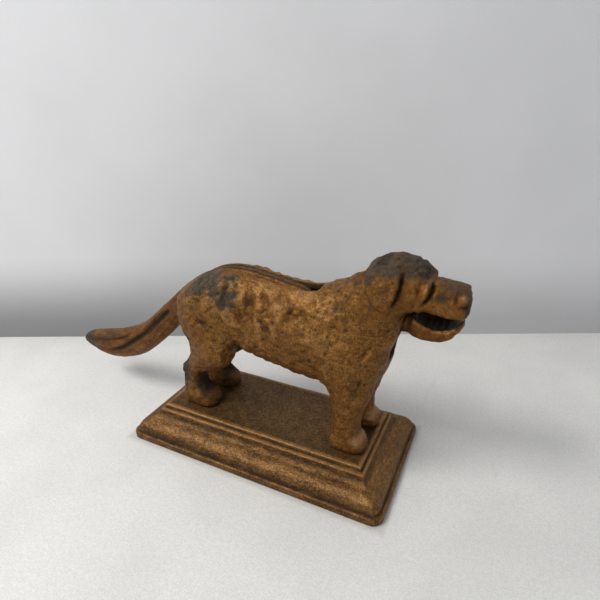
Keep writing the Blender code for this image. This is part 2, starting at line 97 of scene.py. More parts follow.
# ------------------------------------------------------------------ chosen sizes, mm
GAP = 0.3                 # between the paws and the base
WALL = 4.2                # of the body castings
NECK_WALL = WALL + 0.6
SLOT_HALF = 5.7           # half width of the lever's slot
PIVOT_BOSS_R = 7.2
SCREW_BOSS_R = 5.6
SCREW_BOSS_START = -0.85  # past the middle plane, so that each boss meets its twin
BOSS_LENGTH = 30
HEAD_SINK_R = 4.5         # recess for the head of a body screw
HEAD_SINK_Y = 19.6
HEAD_SINK_LENGTH = 14
PIVOT_HOLE_R = 3.5        # through the lever
PIVOT_HOLE_HALF = 12      # half length of its cutter
BASE_HOLE_R = 2.3
BASE_HOLE_Z = 10
BASE_HOLE_LENGTH = 16
VISIBLE_SEAM = 0.004      # half the gap left where the two body castings meet
FIRST_VOXEL = 1.15
BODY_VOXEL = 0.80
LEVER_VOXEL = 0.6
JAW_PITCH = 3.4           # of the teeth, upper and lower
JAW_TEETH = 7
JAW_X = (82.0, 82.0 + JAW_TEETH * JAW_PITCH)
JAW_ROOT_Z, JAW_TIP_Z, JAW_FLOOR_Z, JAW_HALF = 113.0, 115.2, 90.0, 8.6

# ------------------------------------------------------------------ sections, mm
# one end x, z, other end x, z, half width, middle y, fullness (2 is an ellipse, more is squarer)
TORSO = [
    (-61.6, 96, -61.6, 80, 9, 0, 2), (-60.4, 99.6, -60, 77.5, 14.5, 0, 2.1),
    (-56.5, 103, -56.3, 72.5, 18.5, 0, 2.2), (-50, 107, -50, 68, 21, 0, 2.2),
    (-42, 111.5, -42, 67, 22.4, 0, 2.2), (-33, 115, -33, 68, 22.8, 0, 2.2),
    (-22, 116.4, -22, 70, 22.2, 0, 2.2), (-10, 115.9, -10, 63.5, 21.6, 0, 2.2),
    (2, 114.1, 2, 60, 21.6, 0, 2.2), (14, 112.4, 14, 58, 22.2, 0, 2.2),
    (26, 112.3, 26, 56.6, 22.8, 0, 2.2), (36, 114.4, 38, 56.2, 22.8, 0, 2.2),
    (45, 113, 50, 56, 21.8, 0, 2.2), (54, 106, 59, 57.5, 19.5, 0, 2.2),
    (63, 100, 66, 61, 16.5, 0, 2.1), (71, 95, 71.5, 67.5, 12.5, 0, 2),
    (76, 91, 74.6, 77, 7, 0, 2),
]
NECK = [
    (30, 106, 52, 66, 17.5, 0, 2.1), (36.5, 114.6, 66, 72, 19.3, 0, 2.1),
    (43.5, 118, 75.5, 85, 18.8, 0, 2.1), (50, 122.6, 78.6, 92.5, 17.6, 0, 2.1),
    (56, 128.6, 79.8, 98.5, 16.4, 0, 2.1), (62, 133.8, 81, 104, 15.6, 0, 2.1),
    (68, 136, 82.5, 108.5, 14.6, 0, 2.1),
]
HEAD = [
    (57.5, 127, 57.5, 114, 9, 0, 2), (61, 132.6, 61, 109, 12.8, 0, 2.2),
    (67, 136.6, 67, 105.5, 14.8, 0, 2.3), (74, 137.4, 74, 105, 15.4, 0, 2.3),
    (81, 135.8, 81, 107, 15, 0, 2.4), (86.5, 133.6, 86.5, 109.4, 14, 0, 2.5),
    (90, 131, 90, 110.2, 12.8, 0, 2.5), (92.4, 127.6, 92.4, 110, 11.9, 0, 2.6),
    (96, 126.9, 96, 109.5, 11.5, 0, 2.6), (101, 126.4, 101, 109, 11.3, 0, 2.6),
    (105.5, 125.7, 105.5, 108.8, 11, 0, 2.6), (108.4, 124.6, 108.4, 109, 10.2, 0, 2.6),
    (110, 122.8, 110, 110.4, 8.4, 0, 2.5), (110.9, 120.4, 110.9, 113.6, 5.2, 0, 2.3),
]
# the right ear and legs; each is mirrored for the left
EAR = [
    (75, 135.4, 65.5, 134.4, 2.4, -9.6, 2.2), (78.2, 132.6, 60.6, 130.6, 3, -13, 2.4),
    (78.4, 128, 60.2, 126.6, 2.8, -15.2, 2.4), (77.6, 122.4, 61.8, 121.4, 2.5, -16.2, 2.4),
    (76.4, 117.6, 64.2, 116.8, 2.2, -16.5, 2.4), (75, 114, 67.2, 113.2, 1.9, -16.2, 2.2),
    (73.2, 111.6, 70, 111.2, 1.2, -15.6, 2),
]
THIGH = [
    (-34, 106, -50, 104, 5, -10, 2), (-26, 99, -55.5, 97, 9.4, -11.6, 2.1),
    (-19.8, 88, -59.6, 87, 12, -12, 2.2), (-18.8, 77.5, -58.9, 77.5, 12.6, -12, 2.2),
    (-20.4, 67, -55.9, 70.5, 12, -12.2, 2.2), (-22.8, 58.6, -53, 64.5, 10.9, -12.6, 2.2),
    (-25.8, 53.4, -51.9, 60, 10.1, -12.7, 2.2), (-33.4, 48.6, -53, 56.4, 9.1, -12.7, 2.2),
    (-43, 45.4, -57.6, 51, 7.9, -12.7, 2.2), (-45.2, 42, -60.4, 45.2, 7.3, -12.6, 2.2),
    (-44.4, 36.5, -60.4, 38.6, 7.1, -12.4, 2.2), (-43.6, 31, -61.4, 31, 7.5, -12.2, 2.2),
    (-43, 24, -60.8, 24, 7.8, -12.2, 2.2), (-46.5, 18.5, -58, 18.5, 7, -12.2, 2.2),
]
HIND_PAW = [
    (-60.8, 29.5, -60.8, 22, 4.4, -12.2, 2), (-57.5, 35, -57.5, 18, 7.9, -12.2, 2.3),
    (-50, 35.6, -50, 16.5, 8.7, -12.2, 2.4), (-44, 33.4, -44, 16.5, 8.6, -12.2, 2.4),
    (-40, 30.4, -40, 17, 7.8, -12.2, 2.3), (-37.6, 27.6, -37.6, 18.8, 6, -12.2, 2.1),
    (-36.4, 25.4, -36.4, 21.6, 3.4, -12.2, 2),
]
FRONT_LEG = [
    (63, 100, 42, 98, 6, -11.5, 2), (70, 92, 36, 89, 9.4, -12.2, 2.2),
    (72.6, 80, 35.4, 78, 10.4, -12.6, 2.2), (70.6, 69, 37.6, 68, 10.2, -12.8, 2.2),
    (68.2, 60, 40.6, 61, 9.3, -12.9, 2.2), (65.8, 52, 44.4, 53, 8.3, -13, 2.2),
    (63.5, 44, 45.4, 45, 7.6, -13, 2.2), (62.7, 36.5, 45.7, 36.5, 7.3, -13, 2.2),
    (63.6, 29.5, 45.5, 28, 7.6, -13, 2.2), (64.6, 24, 45.5, 23, 7.8, -13, 2.2),
    (63.6, 18.5, 46.8, 18.5, 7.2, -13, 2.2),
]
FRONT_PAW = [
    (45, 28, 45, 21, 4.4, -13, 2), (48, 32, 48, 17.5, 7.4, -13, 2.3),
    (55, 34, 55, 16.5, 8.1, -13, 2.4), (61, 32.6, 61, 17, 7.9, -13, 2.4),
    (65, 29.6, 65, 18.8, 6.2, -13, 2.1), (66.9, 27.2, 66.9, 21.8, 3.4, -13, 2),
]
# from the tip of the tail to the tip of the jaw
LEVER = [
    (-168.4, 37.2, -167.8, 33.8, 2.4, 0, 2), (-166.8, 39.6, -166.2, 31.4, 4.4, 0, 2),
    (-161.6, 42.3, -161.8, 29.6, 6, 0, 2.1), (-152, 45, -152.4, 27.8, 7, 0, 2.2),
    (-139, 48.2, -137.8, 27, 7.5, 0, 2.2), (-128, 51.3, -121, 31, 7.4, 0, 2.2),
    (-112.5, 57.6, -104, 38.6, 7, 0, 2.2), (-100, 65, -90, 50, 6.6, 0, 2.2),
    (-88, 75.6, -77.5, 61.8, 6.1, 0, 2.3), (-77, 85.4, -67, 72.2, 5.7, 0, 2.4),
    (-66, 94.9, -57.5, 81, 5.2, 0, 2.6), (-56, 102.8, -49, 89, 5, 0, 2.8),
    (-44, 109.8, -40, 94, 5, 0, 3.2), (-30, 115.1, -29, 96.5, 5, 0, 3.2),
    (-15, 116.1, -15.5, 97.5, 5, 0, 3.2), (0, 114.3, -2, 97, 5, 0, 3.2),
    (13, 112.2, 8, 95, 5, 0, 3.2), (21, 110.7, 18, 92, 5, 0, 3.2),
    (25.6, 108.2, 23, 90.4, 5, 0, 3.2), (30.2, 102, 29, 89, 5, 0, 3),
    (41, 102.6, 40, 87, 5, 0, 3), (49, 104.6, 50, 86.4, 5, 0, 3),
    (58, 105, 60, 89.6, 5, 0, 3), (68, 106.2, 69.5, 93, 5, 0, 2.8),
    (77, 107.6, 78, 95.4, 5, 0, 2.6), (81.6, 108.3, 81.8, 95.8, 5.7, 0, 2.4),
    (85, 108, 85.6, 95.8, 9.4, 0, 2.7), (90, 106.4, 90.6, 96, 10.7, 0, 3.2),
    (97, 105, 97.6, 96.6, 10.9, 0, 3.2), (102.4, 105.7, 103, 98.4, 10.2, 0, 2.9),
    (106.4, 107.9, 106.8, 100.8, 8.6, 0, 2.3), (108.6, 108.7, 108.8, 103.2, 6.2, 0, 2.2),
    (109.5, 107.2, 109.5, 105, 3, 0, 2),
]
# bowl cut out of the lower jaw
SCOOP = [
    (85.8, 112, 85.8, 103.8, 5.4, 0, 2.6), (88.6, 112, 88.6, 101.2, 7.8, 0, 3),
    (93, 112, 93, 100, 8.9, 0, 3.4), (99, 112, 99, 100.3, 8.8, 0, 3.4),
    (103, 112, 103, 102.2, 7.2, 0, 2.8), (105.8, 112, 105.8, 105.2, 4.6, 0, 2.2),
]
# base: inset from the outer edge, z; the outside from the bottom up, the inside from the top down
BASE_PROFILE = [
    (0.45, 0.0), (0.0, 0.5), (0.0, 3.2), (0.35, 4.0), (1.1, 4.35), (1.9, 4.4),
    (2.0, 5.6), (2.7, 7.6), (4.1, 9.5), (6.2, 11.1), (8.6, 12.1), (11.0, 12.7),
    (12.8, 13.6), (13.8, 14.9), (14.2, 16.4), (14.6, 17.2), (15.3, 17.5),
    (16.5, 17.6), (16.9, 18.0), (17.1, 19.5), (17.5, 20.15), (18.3, BASE_H),
]
BASE_INSIDE = [(19.5, 16.1), (18.0, 13.0), (15.5, 10.4), (9.5, 8.2), (5.6, 5.0), (4.6, 0.0)]
# side-view outlines of the lever's slot: x, z
BACK_SLOT = [(-80, 62), (-80, 135), (32.6, 135), (33.0, 104), (33.0, 84), (-30, 84), (-50, 66),
             (-58, 62)]
THROAT_SLOT = [(28, 84), (30, 106), (44, 107.5), (58, 109), (70, 111), (84, 112), (120, 112),
               (120, 78), (70, 79), (60, 80), (44, 80)]


# ------------------------------------------------------------------ mesh helpers
def link(name, mesh):
    obj = bpy.data.objects.new(name, mesh)
    bpy.context.scene.collection.objects.link(obj)
    return obj


def to_object(name, shape):
    mesh = bpy.data.meshes.new(name)
    bmesh.ops.recalc_face_normals(shape, faces=shape.faces)
    shape.to_mesh(mesh)
    shape.free()
    return link(name, mesh)


def bake(obj):
    """Apply the modifiers."""
    deps = bpy.context.evaluated_depsgraph_get()
    deps.update()
    mesh = bpy.data.meshes.new_from_object(obj.evaluated_get(deps), depsgraph=deps)
    old = obj.data
    obj.modifiers.clear()
    obj.data = mesh
    bpy.data.meshes.remove(old)


def boolean(obj, cutter, operation="DIFFERENCE"):
    cut = obj.modifiers.new("cut", "BOOLEAN")
    cut.operation = operation
    cut.solver = "EXACT"
    cut.object = cutter
    bake(obj)
    bpy.data.objects.remove(cutter, do_unlink=True)


def remesh(obj, voxel, rounds):
    skin = obj.modifiers.new("skin", "REMESH")
    skin.mode = "VOXEL"
    skin.voxel_size = voxel
    smooth = obj.modifiers.new("smooth", "SMOOTH")
    smooth.factor = 0.5
    smooth.iterations = rounds
    bake(obj)


def curve_rows(rows, start, steps):
    """Catmull-Rom points from rows[start] up to, not including, the row after it."""
    before, here = rows[max(start - 1, 0)], rows[start]
    after, beyond = rows[start + 1], rows[min(start + 2, len(rows) - 1)]
    return [[0.5 * ((2 * b) + (c - a) * t + (2 * a - 5 * b + 4 * c - d) * t * t
                    + (3 * b - a - 3 * c + d) * t ** 3)
             for a, b, c, d in zip(before, here, after, beyond)]
            for t in (s / steps for s in range(steps))]


def smooth_rows(rows, steps):
    out = [row for i in range(len(rows) - 1) for row in curve_rows(rows, i, steps)]
    return out + [rows[-1]]


def bridge(shape, rings):
    """Faces between each closed ring and the next."""
    count = len(rings[0])
    for ring, above in zip(rings, rings[1:]):
        for i in range(count):
            j = (i + 1) % count
            shape.faces.new((ring[i], ring[j], above[j], above[i]))


def loft(shape, sections, count=48, steps=4, side=1, inset=0.0):
    """Closed body through the sections; side -1 mirrors it, inset shrinks every section."""
    rings = []
    for ax, az, bx, bz, half_width, middle_y, fullness in smooth_rows(sections, steps):
        middle_x, middle_z = (ax + bx) / 2, (az + bz) / 2
        half_x, half_z = (ax - bx) / 2, (az - bz) / 2
        size = math.hypot(half_x, half_z)
        shrink = max(size - inset, 0.4) / size
        wide = max(half_width - inset, 0.4)
        ring = []
        for i in range(count):
            angle = 2 * math.pi * i / count
            cos, sin = math.cos(angle), math.sin(angle)
            along = math.copysign(abs(cos) ** (2 / fullness), cos) * shrink
            y = middle_y + math.copysign(abs(sin) ** (2 / fullness), sin) * wide
            place = (middle_x + half_x * along, y * side, middle_z + half_z * along)
            ring.append(shape.verts.new(place))
        rings.append(ring)
    bridge(shape, rings)
    for ring in (rings[0], rings[-1]):
        tip = shape.verts.new(sum((v.co for v in ring), Vector()) / count)
        for i in range(count):
            shape.faces.new((ring[i], ring[(i + 1) % count], tip))


def lofted(name, sections, **options):
    shape = bmesh.new()
    loft(shape, sections, **options)
    return to_object(name, shape)


def prism(name, outline, half):
    """Side-view outline of x, z points, pushed from -half to half across."""
    shape = bmesh.new()
    face = shape.faces.new([shape.verts.new((x, -half, z)) for x, z in outline])
    pushed = bmesh.ops.extrude_face_region(shape, geom=[face])
    verts = [v for v in pushed["geom"] if isinstance(v, bmesh.types.BMVert)]
    bmesh.ops.translate(shape, verts=verts, vec=(0, 2 * half, 0))
    return to_object(name, shape)


def rod(name, radius, origin, axis, length, count=32):
    shape = bmesh.new()
    turn = Vector((0, 0, 1)).rotation_difference(Vector(axis)).to_matrix().to_4x4()
    place = Matrix.Translation(Vector(origin)) @ turn
    angles = [2 * math.pi * i / count for i in range(count)]
    rings = [[shape.verts.new(place @ Vector((radius * math.cos(a), radius * math.sin(a), end)))
              for a in angles] for end in (0, length)]
    bridge(shape, rings)
    for ring in rings:
        shape.faces.new(ring)
    return to_object(name, shape)


def coords(obj):
    """Points and normals of a mesh, one row each."""
    mesh = obj.data
    points, normals = np.empty((2, len(mesh.vertices) * 3), np.float32)
    mesh.vertices.foreach_get("co", points)
    mesh.vertex_normals.foreach_get("vector", normals)
    return points.reshape(-1, 3).astype(float), normals.reshape(-1, 3).astype(float)


def set_coords(obj, points):
    obj.data.vertices.foreach_set("co", points.astype(np.float32).ravel())
    obj.data.update()


def relax(obj, points, rounds, weight):
    """Laplacian smoothing of the points, by weight."""
    ends = np.empty(len(obj.data.edges) * 2, np.int32)
    obj.data.edges.foreach_get("vertices", ends)
    one, two = ends.reshape(-1, 2).T
    count = len(points)
    degree = np.bincount(ends, minlength=count).astype(float)[:, None]
    for _ in range(rounds):
        total = np.stack([np.bincount(one, points[two, k], count)
                          + np.bincount(two, points[one, k], count) for k in range(3)], 1)
        points = points + (total / degree - points) * 0.5 * weight[:, None]
    return points


def split_face_edges(obj):
    """Split once every edge on the sides of the head, for finer detail."""
    x, y, z = coords(obj)[0].T
    pick = (x > 57) & (z > 109) & (np.abs(y) > 5.0)
    shape = bmesh.new()
    shape.from_mesh(obj.data)
    shape.verts.ensure_lookup_table()
    edges = [e for e in shape.edges if pick[e.verts[0].index] and pick[e.verts[1].index]]
    bmesh.ops.subdivide_edges(shape, edges=edges, cuts=1, use_grid_fill=True)
    bmesh.ops.triangulate(shape, faces=[f for f in shape.faces if len(f.verts) > 4])
    shape.to_mesh(obj.data)
    shape.free()
    obj.data.update()


def store(obj, values):
    """Write each named value as a point attribute."""
    for name, value in values.items():
        attribute = obj.data.attributes.new(name, "FLOAT", "POINT")
        attribute.data.foreach_set("value", value.astype(np.float32))


def store_masks(obj, masks):
    store(obj, {name: np.clip(value, 0, 1) for name, value in masks.items()})


def to_frame(obj):
    """From millimetres round the base's middle to the frame's metres."""
    obj.data.transform(Matrix.Translation((CX, 0, 0)) @ Matrix.Scale(MM, 4))
    obj.data.update()
    return obj


# ------------------------------------------------------------------ noise
def hashed(ix, iy, iz, seed):
    """Random 32-bit number of a grid cell."""
    h = (ix * 374761393 + iy * 668265263 + iz * 2147483647 + seed * 144665) & 0xFFFFFFFF
    h = (h ^ (h >> 13)) * 1274126177 & 0xFFFFFFFF
    h = (h ^ (h >> 16)) * 2246822519 & 0xFFFFFFFF
    return (h ^ (h >> 15)) & 0xFFFFFFFF


def noise(points, seed):
    """Smooth value noise, about -1 to 1."""
    cell = np.floor(points).astype(np.int64)
    part = points - cell
    blend = part * part * part * (part * (part * 6 - 15) + 10)
    out = np.zeros(len(points))
    for corner in product((0, 1), repeat=3):
        weight = np.prod(np.where(corner, blend, 1 - blend), axis=1)
        out += weight * (hashed(*(cell + corner).T, seed) / 2147483647.5 - 1)
    return out * 1.25


def fbm(points, octaves, seed):
    """Noise with each octave twice as fine and half as strong."""
    total, strength, norm = 0, 1.0, 0.0
    for k in range(octaves):
        total = total + strength * noise(points * 2 ** k + 17.3 * k, seed + 11 * k)
        norm += strength
        strength *= 0.5
    return total / norm


def lumps(points, *layers):
    """Sum of noise layers, each (lump size, height, seed)."""
    return sum(height * noise(points / size, seed) for size, height, seed in layers)


def cells(points, seed):
    """Distance to the nearest scattered point, in cells, and that point's own random value."""
    home = np.floor(points).astype(np.int64)
    best = np.full(len(points), 9.0)
    own = np.zeros(len(points))
    for step in product((-1, 0, 1), repeat=3):
        cell = home + step
        place = [hashed(*cell.T, seed + k) / 4294967295.0 for k in (1, 2, 3)]
        distance = np.linalg.norm(cell + np.stack(place, 1) - points, axis=1)
        near = distance < best
        best = np.where(near, distance, best)
        own = np.where(near, hashed(*cell.T, seed + 9) / 4294967295.0, own)
    return best, own


# ------------------------------------------------------------------ zones and shapes on a surface
def ease(value, start, end):
    """Smooth step from 0 at start to 1 at end; start may be the greater."""
    t = np.clip((value - start) / (end - start), 0, 1)
    return t * t * (3 - 2 * t)


def span(value, low, low_full, high_full, high):
    """0 outside low to high, 1 between the two full places."""
    return ease(value, low, low_full) * ease(value, high, high_full)


def axes(*columns):
    return np.stack(columns, 1)


def follow(x, z, line):
    """Nearest place on a side-view polyline: distance, run along it, side; and its corners' runs."""
    line = np.array(line, float)
    steps = np.diff(line, axis=0)
    lengths = np.linalg.norm(steps, axis=1)
    runs = np.concatenate([[0], np.cumsum(lengths)])
    found = np.zeros((3, len(x)))
    found[0] = 1e9
    for (start_x, start_z), (step_x, step_z), length, run in zip(line, steps, lengths, runs):
        t = np.clip(((x - start_x) * step_x + (z - start_z) * step_z) / length ** 2, 0, 1)
        off_x, off_z = x - start_x - t * step_x, z - start_z - t * step_z
        here = np.array([np.hypot(off_x, off_z), run + t * length,
                         np.sign(step_x * off_z - step_z * off_x)])
        found = np.where(here[0] < found[0], here, found)
    return (*found, runs)


class Surface:
    """Points and normals of a casting in mm, with shapes laid out in its side view."""

    def __init__(self, obj):
        self.points, self.normals = coords(obj)
        self.x, self.y, self.z = self.points.T
        self.face_x, self.face_y, self.face_z = self.normals.T
        self.off = np.abs(self.y)                 # from the middle plane

    def raised(self, height):
        """The points moved along their normals."""
        return self.points + self.normals * height[:, None]

    def hill(self, x, z, long, tall=None, turn=0.0):
        """Round hill of height 1 about x, z."""
        cos, sin = math.cos(turn), math.sin(turn)
        u = ((self.x - x) * cos + (self.z - z) * sin) / long
        v = (-(self.x - x) * sin + (self.z - z) * cos) / (tall or long)
        return np.exp(-(u * u + v * v))

    def stroke(self, line):
        """Distance to a polyline, and how far along it the nearest place is, 0 to 1."""
        distance, run, _, runs = follow(self.x, self.z, line)
        return distance, run / runs[-1]

    def trough(self, line, width, fade_in, fade_out, offset=0.0):
        """1 along a line (or offset from it), fading over a share of its length at each end."""
        distance, t = self.stroke(line)
        fade = ease(t, 0, fade_in) * ease(t, 1, 1 - fade_out)
        return np.exp(-((distance - offset) / width) ** 2) * fade


# ------------------------------------------------------------------ body surface
# side-view lines: x, z
EAR_REAR = [(66.0, 134.6), (61.5, 131.6), (59.8, 128.0), (60.8, 123.6), (62.6, 119.8),
            (64.6, 116.6), (67.0, 113.6), (70.0, 111.7), (73.0, 111.8)]
EAR_FRONT = [(79.6, 132.4), (79.2, 127.6), (78.4, 122.6), (77.2, 118.2), (75.6, 114.6)]
EYE_CREASE = [(92.4, 131.2), (93.3, 128.0), (93.0, 124.2), (91.8, 120.8), (89.8, 117.8),
              (87.6, 115.6)]
MOUTH_CORNER = [(85.5, 111.2), (82.8, 111.0), (81.4, 109.4), (81.2, 106.8), (81.6, 104.2)]
# depth, width, fade in, fade out, line: shank crack, neck line, chest line, thigh line
BODY_TROUGHS = [
    (0.55, 0.7, 0.2, 0.2, [(-56.5, 42.0), (-57.5, 38.0), (-55.6, 34.5), (-56.6, 31.0)]),
    (0.55, 2.4, 0.2, 0.25, [(55.0, 117.0), (50.0, 108.0), (49.0, 98.0), (52.0, 88.0),
                            (58.0, 76.0)]),
    (0.45, 1.8, 0.25, 0.25, [(66.5, 96.0), (64.0, 86.0), (62.5, 76.0), (62.5, 68.0)]),
    (0.5, 2.2, 0.4, 0.0001, [(-20.0, 98.0), (-21.5, 88.0), (-20.0, 79.0)]),
]
# height, x, z, length, height in view, turn: hock knob, step below it, shoulder
BODY_HILLS = [(0.9, -56.0, 47.8, 4.0, 4.4, 0), (-0.6, -58.0, 41.6, 3.2, 1.4, 0),
              (0.8, 52.0, 84.0, 10.0, 15.0, 0.25)]
# single dents on both sides: x, z, radius, depth
SIDE_DENTS = [
    (7.8, 90.2, 2.6, 0.9), (-38.5, 99.0, 3.0, 0.8), (-34.5, 86.5, 2.8, 0.9),
    (-3.0, 103.0, 2.6, 0.7), (62.0, 71.3, 2.6, 0.7), (30.0, 92.0, 2.0, 0.6),
    (-52.0, 92.0, 2.4, 0.6), (46.0, 108.0, 2.0, 0.5), (52.0, 103.5, 2.4, 0.5),
    (24.0, 80.0, 2.2, 0.5), (-10.0, 84.0, 2.0, 0.5),
]
# patches of lost paint: strength, x, z, length, height, turn
BARE_PATCHES = [
    (1.1, 88.0, 131.5, 6.0, 3.2, -0.5), (0.9, 64.0, 130.5, 6.5, 5.0, 0.4),
    (1.15, -31.0, 108.5, 20.0, 8.5, 0.05), (1.1, -18.0, 103.5, 9.5, 9.0, 0),
    (0.85, -46.0, 103.5, 9.0, 6.5, 0.5), (0.7, -41.0, 96.0, 5.0, 4.4, 0),
    (0.55, -5.0, 104.0, 5.0, 6.0, 0), (0.35, 16.0, 104.0, 7.0, 5.0, 0),
    (1.0, -59.5, 37.0, 3.6, 9.5, 0),
]


class BodySkin(Surface):
    """The body's surface with the zones that its features share."""

    def __init__(self, obj):
        super().__init__(obj)
        points = self.points
        self.flat = ease(np.abs(self.face_y), 0.25, 0.6)        # faces a side
        self.head = ease(self.x, 56, 62) * ease(self.z, 103, 110)
        self.warp = axes(fbm(points / 13.0, 2, 43), fbm(points / 13.0 + 31, 2, 44),
                         fbm(points / 13.0 + 67, 2, 45))
        self.warped = points + 3.2 * self.warp
        self.ragged = (0.34 * fbm(points / 5.5, 3, 63)
                       + lumps(points, (2.4, 0.20, 64), (1.3, 0.10, 65)))
        self.ear_side = ease(self.off, 7.5, 10.0)
        self.muzzle_side = ease(self.off, 3.5, 6.0)
        self.ear = self.hill(69.5, 122.5, 8.5, 11.0) * self.ear_side

    def patch(self, *hill):
        """Hill with a ragged edge."""
        return ease(self.hill(*hill) + self.ragged, 0.10, 1.10)


# Each function below returns how far the skin moves outwards, mm, and notes in marks the
# features that the paint follows. Zones are given by the x, z, distance off the middle or
# facing at which they start and are full.
def coat_height(skin, marks):
    """Hammered coat with slanted locks along the upper flank, pits and dents."""
    x, z, off, flat = skin.x, skin.z, skin.off, skin.flat
    warped = skin.warped
    warped_x, warped_y, warped_z = warped.T
    coat = 1 - 0.75 * skin.head - 0.45 * ease(z, 62, 44)          # fainter on head and legs
    height = coat * lumps(warped, (10.0, 0.42, 3), (5.2, 0.46, 4), (3.1, 0.36, 6))

    locks = span(x, -34, -22, 36, 50) * span(z, 84, 95, 110, 116)
    lock = noise(axes((warped_x + 0.28 * warped_z) / 4.2, warped_y / 9.0,
                      (warped_z - 0.2 * warped_x) / 12.0), 8)
    rib = noise(axes((warped_x - 0.35 * warped_z) / 6.0, warped_y / 12.0, warped_z / 16.0), 9)
    height += locks * (1.45 * lock + lumps(warped, (2.9, 0.45, 12)))
    height += 0.30 * (1 - locks) * coat * rib
    height += lumps(warped, (2.2, 0.27, 5), (1.3, 0.07, 15)) * (0.6 + 0.4 * coat)

    distance, own = cells(skin.points / 5.4 + 0.15 * skin.warp, 10)
    pit = ease(distance, 0.24, 0.10) * (own > 0.55)
    distance, own = cells(skin.points / 13.0, 11)
    dent = ease(distance, 0.30, 0.06) * (own > 0.5) * (1 - skin.head) * flat
    height -= 0.75 * pit * coat + 0.75 * dent
    placed = np.zeros(len(x))
    for dent_x, dent_z, radius, depth in SIDE_DENTS:
        hollow = skin.hill(dent_x, dent_z, radius) * flat * ease(off, 8, 12)
        placed = np.maximum(placed, hollow)
        height -= depth * hollow

    # calm beside the slot in the back and under the throat
    height *= 1 - 0.96 * ease(off, 12.5, 10.0) * ease(z, 98, 106) * ease(x, 38, 34)
    height *= 1 - 0.95 * ease(off, 9.5, 6.5) * ease(x, 52, 58) * span(z, 64, 70, 108, 112)
    marks.locks, marks.lock, marks.pit, marks.dent, marks.placed = locks, lock, pit, dent, placed
    return height


def ear_height(skin, marks):
    """Raised flap with a line behind and an undercut line before it."""
    side = skin.ear_side
    distance, t = skin.stroke(EAR_REAR)
    marks.rear = (np.exp(-(distance / 1.05) ** 2) * side
                  * ease(t, 0, 0.1) * (1 - 0.75 * ease(t, 0.72, 1.0)))
    marks.front = skin.trough(EAR_FRONT, width=0.72, fade_in=0.25, fade_out=0.12) * side
    ridge = skin.trough(EAR_FRONT, width=1.3, fade_in=0.2, fade_out=0.2, offset=2.2)
    height = -0.42 * marks.rear - 1.9 * marks.front + 0.55 * ridge * side * (skin.x < 78)
    height += 0.45 * skin.hill(68.5, 121.0, 5.0, 7.5) * side * skin.flat   # belly of the ear
    return height + skin.ear * lumps(skin.warped, (2.6, 0.34, 16), (1.4, 0.16, 17))


def eye_height(skin, marks):
    """Dark crease with a slim lid and a hollow behind it, and the cheek."""
    side = ease(skin.off, 4.5, 7.5)
    marks.eye = skin.trough(EYE_CREASE, width=0.80, fade_in=0.10, fade_out=0.35) * side
    marks.lid = skin.hill(90.2, 124.8, 0.90, 3.6, -0.16) * side
    hollow = skin.hill(87.4, 125.0, 1.0, 3.6, -0.12) * side
    cheek = skin.hill(84.0, 120.0, 5.5, 6.5) * skin.ear_side
    return -2.3 * marks.eye + 1.05 * marks.lid - 0.7 * hollow + 0.7 * cheek


def muzzle_height(skin, marks):
    """Hollow under the bridge, lip pad, nostril, brow and the corner of the mouth."""
    x, z, off, side = skin.x, skin.z, skin.off, skin.muzzle_side
    marks.hollow = skin.hill(98.6, 122.0, 3.2, 2.2, 0.3) * side
    marks.nostril = np.exp(-((x - 107.8) ** 2 + (off - 9.2) ** 2 + (z - 122.4) ** 2) / 1.55 ** 2)
    marks.below = skin.hill(107.4, 118.3, 2.0, 1.0) * ease(off, 3.0, 5.0)
    marks.behind = skin.hill(104.4, 121.6, 1.0, 2.4) * side
    # the muzzle's front face, turned from the lamps, is painted dark: painted shade and dark paint
    marks.front_edge = (ease(skin.face_x, 0.45, 0.85) * ease(x, 105.5, 108)
                        * span(z, 108.5, 112, 116.5, 121))
    height = -0.95 * marks.hollow * (0.6 + lumps(skin.warped, (1.8, 0.5, 18)))
    height += 0.95 * skin.hill(100.5, 115.2, 6.0, 3.6) * side              # lip pad
    height += 1.15 * marks.nostril - 0.9 * marks.below - 0.6 * marks.behind
    height += 0.9 * skin.hill(82.0, 136.0, 1.9, 2.2) * ease(off, 5.0, 2.5)   # knob on the crown
    brow = skin.hill(86.5, 134.0, 6.5, 4.0, -0.5) * ease(off, 9.5, 6.0)
    height += brow * (0.35 + lumps(skin.points, (3.3, 0.95, 20)))
    height -= 0.6 * skin.hill(94.0, 128.4, 1.6, 2.0) * ease(off, 9.0, 6.0)   # foot of the brow
    # the corner of the mouth is carved and painted dark as shade
    distance, _ = skin.stroke(MOUTH_CORNER)
    marks.corner = np.exp(-(distance / 0.90) ** 2) * span(off, 5.0, 7.5, 12.0, 13.5)
    return height - 0.8 * marks.corner


def muscle_height(skin):
    """Hills and troughs on the flat of the sides."""
    hills = sum(height * skin.hill(*hill) for height, *hill in BODY_HILLS)
    troughs = sum(depth * skin.trough(line, width, fade_in, fade_out)
                  for depth, width, fade_in, fade_out, line in BODY_TROUGHS)
    return (hills - troughs) * skin.flat


def outline_height(skin):
    """Broad corrections of the outline."""
    x, z, off = skin.x, skin.z, skin.off
    nape = 2.9 * np.exp(-((x - 55.8) / 3.6) ** 2) + 1.5 * np.exp(-((x - 67.0) / 4.5) ** 2)
    nape *= ease(z, 118, 124) * ease(off, 15, 9)
    brow_foot = 1.7 * skin.hill(92.2, 131.0, 2.3, 2.6) * ease(off, 9.0, 6.0)
    muzzle_end = 0.9 * ease(x, 106, 110) * ease(skin.face_x, 0.3, 0.8)
    thigh_back = (1.9 * skin.hill(-49.0, 72.0, 6.0, 12.0) * ease(skin.face_x, 0.0, -0.5)
                  * ease(off, 13, 19))
    flank_fold = 1.3 * skin.hill(-10.5, 72.5, 5.5, 4.5) * ease(skin.face_z, 0.2, -0.5)
    return flank_fold - nape - brow_foot - muzzle_end - thigh_back


